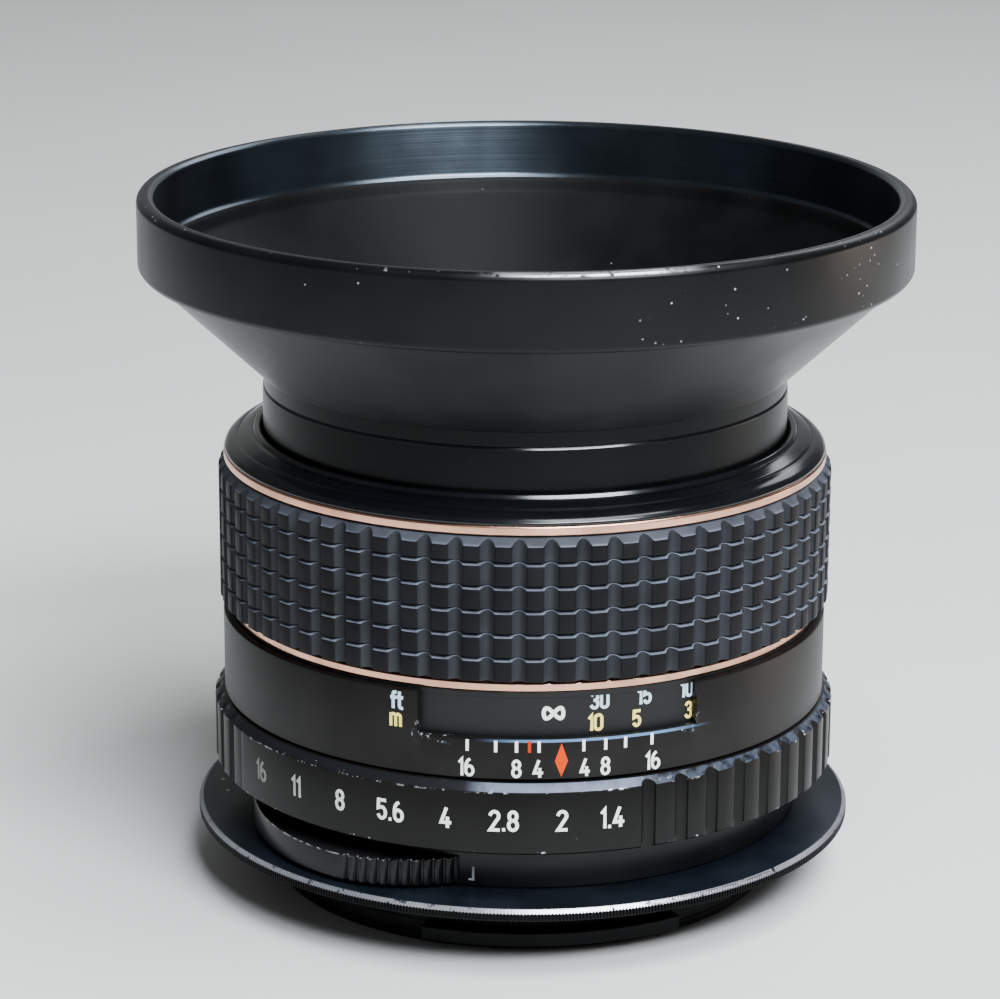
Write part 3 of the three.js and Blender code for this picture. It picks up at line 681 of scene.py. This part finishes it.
MATERIALS = {
    **{name: enamel(name, **settings) for name, settings in ENAMELS.items()},
    "hood_wall": anodised_bore(),
    "stops_bevel": bevel_highlight(),
    "depth_ring": window_edge(),
    "adapter": adapter_paint(),
    "rubber": moulded_rubber(),
    "chrome": bright_metal("chrome", (0.80, 0.44, 0.30), 0.18),
    "aluminium": bright_metal("aluminium", (0.56, 0.56, 0.57), 0.32),
    "brass": bright_metal("brass", (0.58, 0.42, 0.18), 0.3),
    "steel": bright_metal("steel", (0.34, 0.34, 0.35), 0.3),
    "blade": bright_metal("blade", (0.09, 0.09, 0.095), 0.42),
    "matte": matte_black(),
    "floor": pale_floor(),
    "front_glass": coated_glass("front_glass", 430.0),
    "glass": coated_glass("glass", 520.0),
    "white": paint("white", WHITE),
    "white_dim_left": paint("white_dim_left", WHITE, dim_left=True),
    "grey": paint("grey", (0.30, 0.31, 0.33)),
    "yellow": paint("yellow", (0.93, 0.78, 0.20)),
    # pale blue paint, set darker than the paint itself, partly as painted shade for the numbers down in the
    # window
    "feet": paint("feet", (0.56, 0.71, 0.80)),
    "orange": paint("orange", (0.66, 0.055, 0.0), 0.4),
    "red": paint("red", (0.55, 0.025, 0.0), 0.45),
}


# ---------------------------------------------------------------- hood
def make_hood():
    """A straight foot on the filter ring, a cone, and an upright band with a turned bore."""
    foot = FILTER_TOP + 0.02
    cone_low = HOOD_TOP - 17.4
    band_low = HOOD_TOP - 7.2
    base = FILTER_R + 0.3
    rise = 10.8  # the cone's gain in radius
    wall = 1.7
    bore = HOOD_R - wall
    thread = 24.25
    throat = 23.2
    band, cone, shine, inside, dark = range(5)
    outline = [
        (thread, HOOD_LOW, 0.1, dark),
        (thread, foot, 0, dark),
        (base - 0.42, foot, 0.04, dark),
        (base - 0.42, cone_low - 0.22, 0.04, dark),
        (base - 0.1, cone_low - 0.1, 0.06, cone),
        (base + 0.1, cone_low + 0.1, 0.06, cone),
        (base + rise - 0.25, band_low - 0.25, 0.15, cone),
        (HOOD_R - 0.32, band_low - 0.05, 0.12, band),
        (HOOD_R, band_low + 0.35, 0.2, band),
        (HOOD_R, HOOD_TOP - 0.5, 0.25, band),
        (HOOD_R - 0.45, HOOD_TOP, 0.3, band),
        (bore + 0.35, HOOD_TOP, 0.2, shine),
        (bore, HOOD_TOP - 0.3, 0.15, shine),
        (bore, band_low + 1.6, 0.2, shine),
        (bore - 0.55, band_low + 1.1, 0.3, inside),
        (base + rise - wall - 0.1, band_low - 0.1, 0.3, inside),
        (base - wall, cone_low, 0.2, inside),
        (throat, cone_low - 1.0, 0.2, inside),
        (throat, HOOD_LOW, 0.1, inside),
    ]
    looks = ["hood_band", "hood_cone", "hood_wall", "hood_inside", "neck"]
    shell = turn("hood_shell", outline, looks, columns=360)
    fit(shell, "front_barrel", "black_enamel", "hood")


# ---------------------------------------------------------------- front barrel and optics
def make_front_barrel():
    """The ring with the filter thread, and the ridged ring that holds the front element."""
    dark, glossy = range(2)
    thread = 24.55
    seat = 23.95
    web = 20.7  # the inward web that the lens carrier is screwed to
    web_low = FILTER_LOW + 2.1
    web_high = FILTER_LOW + 3.8
    skirt = 24.9
    outline = [
        (FILTER_R, FILTER_LOW, 0.1),
        (FILTER_R, FILTER_TOP - 0.24, 0.03, glossy),
        (FILTER_R - 0.14, FILTER_TOP, 0.03, dark),
        (thread, FILTER_TOP, 0.1),
        (thread, NAME_TOP + 0.4, 0.1),
        (seat, NAME_TOP + 0.4, 0.1),
        (seat, web_high, 0.1),
        (web, web_high, 0.1),
        (web, web_low, 0.1),
        (skirt, web_low, 0.1),
        (skirt, FILTER_LOW, 0.1),
    ]
    barrel = turn("filter_barrel", outline, ["neck", "gloss"])
    fit(barrel, "front_barrel", "black_enamel", "filter_ring")

    ridges = []
    steps = 9
    outer = NAME_R - 1.3
    inner = 18.35
    drop = NAME_TOP - NAME_LOW - 0.65
    width = (outer - inner) / steps
    for i in range(steps):
        radius = outer + (inner - outer) * (i / steps)
        height = NAME_TOP - drop * (i / steps)
        ridges.append((radius, height, 0.04))
        ridges.append((radius - width * 0.55, height - 0.03, 0.04))
        ridges.append((radius - width * 0.6, height - 0.14, 0.03))
    outline = [(NAME_R, NAME_LOW, 0.05), (NAME_R, NAME_TOP, 0.15), *ridges, (inner, NAME_LOW, 0.05)]
    ring = turn("front_ring", outline, ["satin"])
    fit(ring, "front_barrel", "black_satin", "front_retaining_ring")


def surface_height(vertex, curve, distance):
    """Height of a spherical surface at a distance from the axis; curve is its signed radius."""
    sag = abs(curve) - math.sqrt(curve * curve - distance * distance)
    return vertex - math.copysign(sag, curve)


def make_element(number, front, rear, look):
    """A glass element: front and rear are (vertex height, radius of curvature)."""
    node = f"lens_element_{number}"
    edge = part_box(node)[1][1] / MM
    pinhole = 0.02
    distances = np.linspace(pinhole, edge, 14)
    under = [(d, surface_height(*rear, d)) for d in distances]
    over = [(d, surface_height(*front, d)) for d in distances[::-1]]
    chamfer = 0.12
    under[-1] = (edge - chamfer, surface_height(*rear, edge - chamfer))
    over[0] = (edge - chamfer, surface_height(*front, edge - chamfer))
    rim = [(edge, under[-1][1] + chamfer), (edge, over[0][1] - chamfer)]
    points = np.array(under + rim + over)
    count = 128
    angles = np.arange(count) * 360 / count
    outlines = np.broadcast_to(points, (count, *points.shape))
    piece = skin(f"glass_{number}", angles, outlines, [look], closed=False)
    fit(piece, "front_barrel", "glass", node)


def make_optics():
    """Seven elements in six groups. Only the first and last are seen, and they have their own coat."""
    prescription = {  # number: front surface, rear surface
        1: ((46.4, 34.5), (41.2, 150.0)),
        2: ((41.0, 21.0), (36.2, 29.0)),
        3: ((34.8, 48.0), (33.3, 15.5)),
        4: ((19.0, -15.8), (17.8, 90.0)),
        5: ((17.77, 90.0), (11.6, -19.5)),
        6: ((11.4, -120.0), (8.0, -29.0)),
        7: ((7.8, 60.0), (4.4, -110.0)),
    }
    for number, (front, rear) in prescription.items():
        make_element(number, front, rear, "front_glass" if number in (1, 7) else "glass")


# ---------------------------------------------------------------- focus ring
def make_shoulder():
    """The glossy front of the focus ring, which steps up inwards in three rounded beads."""
    profile = (  # inwards, upwards, fillet
        (0, 0, 0.03),
        (0, 0.2, 0.1),
        (0.3, 0.6, 0.3),
        (0.85, 0.98, 0.3),
        (1.25, 1.12, 0.06),
        (1.33, 1.05, 0.04),
        (1.5, 1.24, 0.1),
        (2.35, 1.68, 0.4),
        (2.7, 1.76, 0.06),
        (2.78, 1.7, 0.03),
        (2.98, 2.06, 0.06),
        (3.08, 2.12, 0.05),
        (3.4, 2.12, 0.15),
        (3.68, 1.9, 0.1),
        (3.68, 0, 0.05),
    )
    outline = [(SHOULDER_R - inward, SHOULDER_LOW + up, size) for inward, up, size in profile]
    shoulder = turn("shoulder", outline, ["gloss"])
    fit(shoulder, "focus_ring", "black_enamel", "focus_ring_shoulder")


def make_sleeve():
    """The bright sleeve shows as a thin band above and below the rubber."""
    low_r = SLEEVE_R - 0.55
    inner = FILTER_R + 0.4
    relief = FILTER_R + 0.7
    step = GRIP_TOP - 5.3
    outline = [
        (low_r - 0.1, SLEEVE_LOW, 0.03),
        (low_r, SLEEVE_LOW + 0.12, 0.06),
        (low_r, SLEEVE_LOW + 0.75, 0.06),
        (low_r - 0.14, SLEEVE_LOW + 0.88, 0.04),
        (GRIP_R - 1.95, SLEEVE_LOW + 0.88, 0.05),
        (GRIP_R - 1.95, GRIP_TOP + 0.06, 0.05),
        (SLEEVE_R - 0.12, GRIP_TOP + 0.06, 0.04),
        (SLEEVE_R, GRIP_TOP + 0.18, 0.06),
        (SLEEVE_R, SLEEVE_TOP - 0.14, 0.08),
        (SLEEVE_R - 0.14, SLEEVE_TOP, 0.05),
        (inner, SLEEVE_TOP, 0.05),
        (inner, step, 0.05),
        (relief, step, 0.05),
        (relief, SLEEVE_LOW, 0.05),
    ]
    sleeve = turn("bright_sleeve", outline, ["chrome"])
    fit(sleeve, "focus_ring", "chrome", "grip_sleeve")


def make_rubber():
    """64 concave flutes crossed by five deeper grooves, which leave six rows of blocks."""
    flutes = 64
    rows = 6
    flute_share = 0.5
    flute_depth = 0.66
    groove_depth = 0.74
    groove_below = 0.27  # height of a groove's sloping lower face
    groove_above = 0.12
    bevel_height = 0.75
    bevel_depth = 0.78
    corner = 0.04  # rounding of the lands' edges
    top = GRIP_TOP - 0.1
    back_r = GRIP_R - 1.7
    pitch = 360.0 / flutes
    first_flute = -7.68  # centre of one flute, from the index mark
    land_share = 1 - flute_share
    offsets = [share * land_share for share in (0.0, 0.02, 0.05, 0.5, 0.95, 0.98)]
    offsets += [land_share + share * flute_share for share in np.linspace(0, 1, 12)[:-1]]

    def plan(share):
        """How far a point of the pitch lies below the lands."""
        if share < land_share:
            edge = min(share, land_share - share) / land_share
            return corner * max(0.0, 1 - edge / 0.04)
        across_flute = (share - land_share) / flute_share * 2 - 1
        return corner + (flute_depth - corner) * (1 - across_flute ** 2)

    angles = []
    recess = []
    for flute in range(flutes):
        for offset in offsets:
            angles.append(first_flute + (flute + offset - land_share - flute_share / 2) * pitch)
            recess.append(plan(offset))
    row_height = (top - GRIP_LOW) / rows
    levels = []  # (height, depth below the lands) all the way up
    for row in range(rows):
        low = GRIP_LOW + row * row_height
        high = low + row_height
        if row:
            levels += [(low + groove_above * share, groove_depth * (1 - share)) for share in (0.0, 0.5, 0.9)]
            levels += [(low + groove_above * 1.2, 0.01)]
        else:
            levels += [(low, 0.2), (low + 0.12, 0.03), (low + 0.2, 0.0)]
        levels += [(low + row_height * share, 0.0) for share in (0.25, 0.5)]
        if row < rows - 1:
            foot = high - groove_below - 0.04
            slope = groove_below
            deepest = groove_depth
        else:
            foot = high - bevel_height
            slope = bevel_height
            deepest = bevel_depth
        levels += [(foot - 0.05, 0.005)]
        levels += [(foot + slope * share, deepest * share) for share in np.linspace(0.04, 1.0, 8)]
    heights = np.array([level[0] for level in levels])
    cuts = np.array([level[1] for level in levels])
    recess = np.array(recess)
    depth = np.maximum(recess[:, None], cuts[None, :])
    outer = np.stack([GRIP_R - depth, np.broadcast_to(heights, depth.shape)], axis=2)
    back = np.array([(back_r, top), (back_r, GRIP_LOW)])
    outlines = np.concatenate([outer, np.broadcast_to(back, (len(angles), 2, 2))], axis=1)
    grip = skin("grip", angles, outlines, ["rubber"])
    fit(grip, "focus_ring", "rubber", "rubber_grip")


def scale_angle(metres):
    """Where a distance stands on the scale, from the focal length and the helicoid's pitch."""
    spread = metres * 1000 / FOCAL_LENGTH - 2
    magnification = (spread - math.sqrt(spread * spread - 4)) / 2
    return INFINITY_AT + magnification * FOCAL_LENGTH * HELICOID_DEGREES_PER_MM


def make_distance_scale():
    """The ring in the window, with both rows of distances all the way to the closest focus."""
    floor_r = SCALE_R - 0.1
    lip_low = SCALE_TOP - 0.5
    inner = 27.35
    outline = [
        (floor_r, SCALE_LOW, 0.05),
        (floor_r, lip_low, 0),
        (SCALE_R, lip_low, 0.02),
        (SCALE_R, SCALE_TOP, 0.05),
        (inner, SCALE_TOP, 0),
        (inner, SCALE_LOW, 0),
    ]
    ring = turn("distance_ring", outline, ["scale"])
    fit(ring, "focus_ring", "black_satin", "distance_scale_ring")
    metres = (10, 5, 3, 2, 1.5, 1.2, 1, 0.8, 0.7, 0.6, 0.5, 0.45)
    feet = (30, 15, 10, 7, 5, 4, 3.5, 3, 2.5, 2, 1.75, 1.5)
    metre_row = WINDOW_SILL + 1.2
    feet_row = WINDOW_SILL + 3.35
    rows = (
        ("metre_numbers", metres, 1.0, metre_row, "yellow"),
        ("feet_numbers", feet, METRES_IN_FOOT, feet_row, "feet"),
    )
    for name, distances, unit, height, look in rows:
        labels = [(f"{value:g}", scale_angle(value * unit), height, 1.75) for value in distances]
        numbers = lettering(name, labels, floor_r, look, 0.17)
        fit(numbers, "focus_ring", "black_satin")
    label = (INFINITY, INFINITY_AT, WINDOW_SILL + 2.3, 1.85)
    infinity = lettering("infinity_mark", [label], floor_r, "white", 0.2)
    fit(infinity, "focus_ring", "black_satin")


# ---------------------------------------------------------------- fixed body
def make_depth_ring():
    """The fixed ring; its open-topped window is a lower top edge between two angles."""
    inner = DOF_R - 0.75
    ledge = DOF_LOW + 3.2
    foot = DOF_R - 3.05

    def outline(top, lip):
        return [
            (DOF_R - 0.12, DOF_LOW), (DOF_R, DOF_LOW + 0.12), (DOF_R, top - lip),
            (DOF_R - lip * 0.25, top - lip * 0.35), (DOF_R - lip, top), (inner + 0.05, top),
            (inner, top - 0.05), (inner, ledge), (foot, ledge), (foot, DOF_LOW),
        ]

    across = np.linspace(-WINDOW_END, WINDOW_END, 41)
    jog = 0.02  # the ends of the window are as good as upright
    round_back = np.linspace(WINDOW_END + jog, 360 - WINDOW_END - jog, 248)
    angles = [*across, *round_back]
    outlines = [outline(WINDOW_SILL, 0.22)] * len(across) + [outline(DOF_TOP, 0.16)] * len(round_back)
    ring = skin("depth_ring", angles, outlines, ["depth_ring"])
    fit(ring, "fixed_body", "black_satin", "depth_of_field_ring")
    mark_depths()


def mark_depths():
    """Ticks, numbers, the index diamond and the two units, all painted on the fixed ring."""
    high = WINDOW_SILL - 0.12
    low = high - 1.12
    width = 0.3
    ticks = [tick(side * at, low, high, width) for at in (4.0, 8.0, 11.7, 16.8) for side in (-1, 1)]
    infrared = [tick(-5.7, low, high, width)]
    corner = 0.62
    waist = DOF_LOW + 1.9
    diamond = [(0, DOF_LOW + 0.3), (corner, waist), (0, WINDOW_SILL - 0.35), (-corner, waist)]
    number_row = DOF_LOW + 1.15
    size = 1.85
    numbers = [(text, side * at, number_row, size) for text, at in (("4", 4.2), ("8", 8.0), ("16", 17.0))
               for side in (-1, 1)]
    feet = [("ft", -30.0, WINDOW_SILL + 3.05, size)]
    metres = [("m", -30.2, WINDOW_SILL + 1.3, size)]
    marks = (
        patch("depth_ticks", ticks, DOF_R, "white"),
        patch("infrared_tick", infrared, DOF_R, "red"),
        lettering("depth_numbers", numbers, DOF_R, "white"),
        patch("index_mark", [(0, diamond)], DOF_R, "orange"),
        lettering("feet_unit", feet, DOF_R, "feet", 0.17, gap=0.14),
        lettering("metre_unit", metres, DOF_R, "yellow", 0.16),
    )
    for mark in marks:
        fit(mark, "fixed_body", "black_satin")


def fluted_radius(share, flute_share, land, depth):
    """Outline of one flute pitch: a shallow concave flute, then a flat land."""
    corner = 0.04
    if share >= flute_share:
        edge = min(share - flute_share, 1 - share) / (1 - flute_share)
        return land - corner * max(0.0, 1 - edge / 0.05)
    across = share / flute_share * 2 - 1
    return land - corner - (depth - corner) * (1 - across ** 2) ** 0.6


def make_aperture_ring():
    """A bevelled ring, smooth where the stops are written and fluted round the rest."""
    flutes = 43
    flute_share = 0.42
    depth = 0.6
    bevel_foot = STOPS_TOP - 0.7
    bevel_r = STOPS_R - 0.8
    inner = 26.0
    pitch = (360 - (NUMBERS_TO - NUMBERS_FROM)) / flutes
    in_flute = (0.0, 0.03, 0.08, 0.18, 0.3, 0.42, 0.58, 0.7, 0.82, 0.92, 0.97)
    on_land = (0.0, 0.025, 0.05, 0.5, 0.95, 0.975)
    shares = [flute_share * part for part in in_flute]
    shares += [flute_share + (1 - flute_share) * part for part in on_land]
    angles = list(np.linspace(NUMBERS_FROM, NUMBERS_TO, 64)[:-1])
    radii = [STOPS_R] * len(angles)
    for flute in range(flutes):
        for share in shares:
            angles.append(NUMBERS_TO + (flute + share) * pitch)
            radii.append(fluted_radius(share, flute_share, STOPS_R, depth))
    outlines = []
    for radius in radii:
        bevel = bevel_foot + (STOPS_R - radius) * 0.7
        outlines.append([
            (STOPS_R - 1.1, STOPS_LOW), (min(radius, STOPS_R - 0.45), STOPS_LOW + 0.05),
            (radius, STOPS_LOW + 0.35), (radius, bevel - 0.06), (radius - 0.04, bevel + 0.02),
            (bevel_r + 0.03, STOPS_TOP - 0.02), (bevel_r - 0.08, STOPS_TOP + 0.02),
            (inner, STOPS_TOP), (inner, STOPS_LOW),
        ])
    slots = [0, 0, 0, 0, 1, 0, 0, 0, 0]  # only the bevel has the painted highlight
    ring = skin("stops_ring", angles, outlines, ["stops", "stops_bevel"], slots)
    fit(ring, "aperture_ring", "black_satin", "aperture_ring")
    stops = (16, 11, 8, 5.6, 4, 2.8, 2, 1.4)
    places = (-61.4, -51.1, -40.7, -30.5, -20.3, -10.1, 0.0, 8.8)
    labels = [(f"{stop:g}", at, STOPS_LOW + 3.6, 2.15) for stop, at in zip(stops, places)]
    numbers = lettering("stop_numbers", labels, STOPS_R, "white_dim_left")
    fit(numbers, "aperture_ring", "black_satin")


def make_mount_plate():
    """The collar between the aperture ring and the adapter, with four turns of the mount's thread below."""
    thread_r = 20.95
    root_r = thread_r - 0.5
    bore = 18.9
    recess = 25.85
    seat = ADAPTER_TOP + 0.05
    floor = seat + 1.6
    pitch = 1.0
    threads = []
    for i in range(4):
        low = PLATE_LOW + 0.3 + i * pitch
        threads += [(root_r, low, 0.04), (thread_r, low + 0.42, 0.05), (thread_r, low + 0.58, 0.05)]
    outline = [
        (root_r, PLATE_LOW, 0.1),
        *threads,
        (root_r, seat, 0.05),
        (COLLAR_R - 0.12, seat, 0.05),
        (COLLAR_R, seat + 0.15, 0.08),
        (COLLAR_R, COLLAR_TOP - 0.15, 0.08),
        (COLLAR_R - 0.15, COLLAR_TOP, 0.05),
        (recess, COLLAR_TOP, 0.05),
        (recess, floor, 0.05),
        (bore, floor, 0.1),
        (bore, PLATE_LOW, 0.1),
    ]
    plate = turn("collar", outline, ["collar"])
    fit(plate, "fixed_body", "black_satin", "mount_plate")
    left, middle, right = (-0.45, -0.1, 0.12)
    foot, knee, head = (seat + 0.65, seat + 0.85, seat + 2.05)
    outline = [(left, foot), (right, foot), (right, head), (middle, head), (middle, knee), (left, knee)]
    hook = patch("lever_mark", [(-16.6, outline)], COLLAR_R, "grey")
    fit(hook, "fixed_body", "black_satin")


def lever_radius(degrees):
    """Outer radius of the crescent: half a cosine each side of its peak."""
    peak = -41
    reach = 40 if degrees < peak else 22
    share = min(1.0, abs(degrees - peak) / reach)
    return COLLAR_R + 0.3 + 3.8 * math.cos(math.pi / 2 * share)


def make_lever():
    """Crescent lever: smooth nose on the left, knurled flank on the right."""
    low, high = (value[2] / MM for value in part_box("mode_lever"))
    inner = COLLAR_R + 0.15
    start = -76.0
    knurl = -40.3
    end = -19.6
    teeth = 11
    tooth_shape = ((0.0, 0.05), (0.1, 0.0), (0.35, 0.0), (0.5, 0.12), (0.65, 0.36), (0.8, 0.36), (0.92, 0.12))
    angles = list(np.linspace(start, knurl, 40)[:-1])
    outer = [lever_radius(angle) for angle in angles]
    pitch = (end - knurl) / teeth
    for tooth in range(teeth):
        for share, drop in tooth_shape:
            angle = knurl + (tooth + share) * pitch
            angles.append(angle)
            outer.append(lever_radius(angle) - drop)
    angles.append(end)
    outer.append(lever_radius(end) - 0.1)
    points = []
    for angle, radius in zip(angles, outer):
        lip = min(0.22, max(0.02, (radius - inner) * 0.4))
        section = [
            (inner, low), (radius - lip * 0.5, low), (radius, low + lip * 0.5), (radius, high - lip),
            (radius - lip * 0.3, high - lip * 0.3), (radius - lip, high), (inner, high),
        ]
        points += [around(r, math.radians(angle), z) for r, z in section]
    lever = add_mesh("lever", points, swept_faces(len(angles), len(section)), ["lever"])
    fit(lever, "mode_lever", "black_satin", "mode_lever")


def make_pin_spring():
    """The stop-down pin's coil spring, built at its free length; the real spring shortens as the pin is
    pushed in.
    """
    low, high = (np.array(corner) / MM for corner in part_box("stop_down_spring"))
    wire = 0.14  # half its thickness
    turns = 5
    steps = 24 * turns
    sides = 10
    centre = (low + high) / 2
    coil = (high[0] - low[0]) / 2 - wire
    free_length = high[2] - low[2]
    points = []
    for i in range(steps + 1):
        turned = 2 * math.pi * turns * i / steps
        height = low[2] + wire + (free_length - 2 * wire) * i / steps
        for j in range(sides):
            section = 2 * math.pi * j / sides
            radius = coil + wire * math.cos(section)
            x = centre[0] + radius * math.cos(turned)
            y = centre[1] + radius * math.sin(turned)
            points.append((x, y, height + wire * math.sin(section)))
    spring = add_mesh("pin_spring", points, swept_faces(steps + 1, sides), ["steel"])
    fit(spring, "fixed_body", "steel", "stop_down_spring")
    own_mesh(spring)


def make_adapter():
    """Thin flange with a finely milled edge, a bayonet tube and three lugs."""
    teeth = 640
    tooth_depth = 0.16
    on_crest = (0.0, 0.35)
    in_valley = (0.5, 0.85)
    tube_r = 25.2
    lug_r = 26.8
    lug_low = 0.9
    lug_high = 2.3
    register = ADAPTER_TOP - 1.2
    bore = 21.2
    lug_angles = (0.0, 120.0, 240.0)
    lug_half = 28.0
    angles = []
    outlines = []
    for tooth in range(teeth):
        for share in on_crest + in_valley:
            angle = (tooth + share) * 360.0 / teeth
            edge = ADAPTER_R if share in on_crest else ADAPTER_R - tooth_depth
            gap = min(abs((angle - at + 180) % 360 - 180) for at in lug_angles)
            lug = lug_r if gap < lug_half else tube_r
            angles.append(angle)
            outlines.append([
                (tube_r - 0.2, ADAPTER_LOW), (tube_r, ADAPTER_LOW + 0.2), (tube_r, lug_low),
                (lug - 0.1, lug_low), (lug, lug_low + 0.1), (lug, lug_high - 0.1),
                (lug - 0.1, lug_high), (tube_r, lug_high), (tube_r, register),
                (ADAPTER_R - 0.35, register), (edge, register + 0.15), (edge, ADAPTER_TOP - 0.38),
                (edge - 0.05, ADAPTER_TOP - 0.3), (ADAPTER_R - 0.42, ADAPTER_TOP),
                (ADAPTER_R - 1.5, ADAPTER_TOP), (bore + 0.3, ADAPTER_TOP),
                (bore, ADAPTER_TOP - 0.3), (bore, ADAPTER_LOW),
            ])
    slots = [1] * 11 + [0] * 7  # the tube, the lugs and the milled side are plain black
    looks = ["adapter", "adapter_low"]
    adapter = skin("bayonet_adapter", angles, outlines, looks, slots)
    fit(adapter, "fixed_body", "adapter_black", "mount_adapter")


# ---------------------------------------------------------------- CAD nodes that stay
STAYING = {  # the look of each: its nodes
    "matte": ["iris_housing", "front_spacer", "doublet_spacer", "rear_spacer"],
    "satin": ["front_cell", "rear_cell", "rear_retaining_ring"],
    "aluminium": ["helicoid_barrel"],
    "brass": ["lens_carrier", "focus_helicoid", "iris_cam_ring", "iris_drive_ring",
              "helicoid_key_1", "helicoid_key_2"],
    "steel": ["detent_ball", "detent_spring", "stop_down_pin",
              *(f"{kind}_screw_{number}" for kind in ("body_set", "mount") for number in (1, 2, 3))],
    "blade": [f"iris_blade_{number}" for number in range(1, 9)],
}


def dress_cad_nodes():
    for look, names in STAYING.items():
        for name in names:
            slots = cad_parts[name].data.materials
            slots.clear()
            slots.append(MATERIALS[look])


# ---------------------------------------------------------------- floor, light and camera
def make_stage():
    """A pale floor that sweeps up behind the lens."""
    half = 900.0
    below = -0.02  # so that it doesn't touch the lens
    sweep = [(-half, 0.0), (770.0, 0.0), (1050.0, 30.0), (1260.0, 130.0), (1400.0, 320.0), (1400.0, 700.0)]
    points = []
    for y, z in sweep:
        points += [(-half, y, z + below), (half, y, z + below)]
    faces = [(2 * i, 2 * i + 1, 2 * i + 3, 2 * i + 2) for i in range(len(sweep) - 1)]
    floor = add_mesh("floor", points, faces, ["floor"])


def area_light(name, place, target, size, power, color):
    light = bpy.data.lights.new(name, "AREA")
    light.shape = "RECTANGLE"
    light.size = size[0] * MM
    light.size_y = size[1] * MM
    light.energy = power
    light.color = color
    lamp = bpy.data.objects.new(name, light)
    bpy.context.scene.collection.objects.link(lamp)
    lamp.location = Vector(place) * MM
    lamp.rotation_euler = (Vector(target) - Vector(place)).to_track_quat("-Z", "Y").to_euler()


def make_lights():
    """Cool light from above and from a window at the front right, and a little warm light from the side."""
    cool = (0.90, 0.95, 1.0)
    world = bpy.data.worlds.new("studio")
    bpy.context.scene.world = world
    world.use_nodes = True
    background = world.node_tree.nodes["Background"]
    background.inputs["Color"].default_value = (0.84, 0.87, 0.92, 1)
    background.inputs["Strength"].default_value = 0.16
    area_light("overhead", (152, -202, 650), (0, 0, 30), (430, 300), 7.5, cool)
    area_light("window", (162, -468, 495), (0, 0, 40), (400, 150), 10.0, (0.86, 0.93, 1.0))
    area_light("back", (300, 430, 420), (0, 0, 40), (400, 220), 1.2, cool)
    area_light("side", (470, 60, 24), (0, 0, 24), (180, 60), 0.25, (1.0, 0.78, 0.60))


def make_camera():
    """Looks down at 16 degrees with the index mark a little right of the middle."""
    distance = 350.33
    height = ADAPTER_TOP + 132.5
    azimuth = math.radians(-6.88)
    down = math.radians(16.22)
    yaw = math.radians(0.40)
    roll = math.radians(0.252)
    camera = bpy.data.cameras.new("camera")
    camera.sensor_width = 36.0
    camera.lens = 131.2
    camera.clip_start = 0.01
    camera.clip_end = 20
    holder = bpy.data.objects.new("camera", camera)
    bpy.context.scene.collection.objects.link(holder)
    holder.location = Vector(around(distance, azimuth, height)) * MM
    aim = Euler((math.pi / 2 - down, 0, azimuth + yaw), "XYZ").to_matrix()
    spin = Euler((0, 0, roll), "XYZ").to_matrix()
    holder.rotation_euler = (aim @ spin).to_euler()
    bpy.context.scene.camera = holder


make_camera()
make_stage()
make_lights()
make_hood()
make_front_barrel()
make_optics()
make_shoulder()
make_sleeve()
make_rubber()
make_distance_scale()
make_depth_ring()
make_aperture_ring()
make_mount_plate()
make_lever()
make_pin_spring()
make_adapter()
dress_cad_nodes()
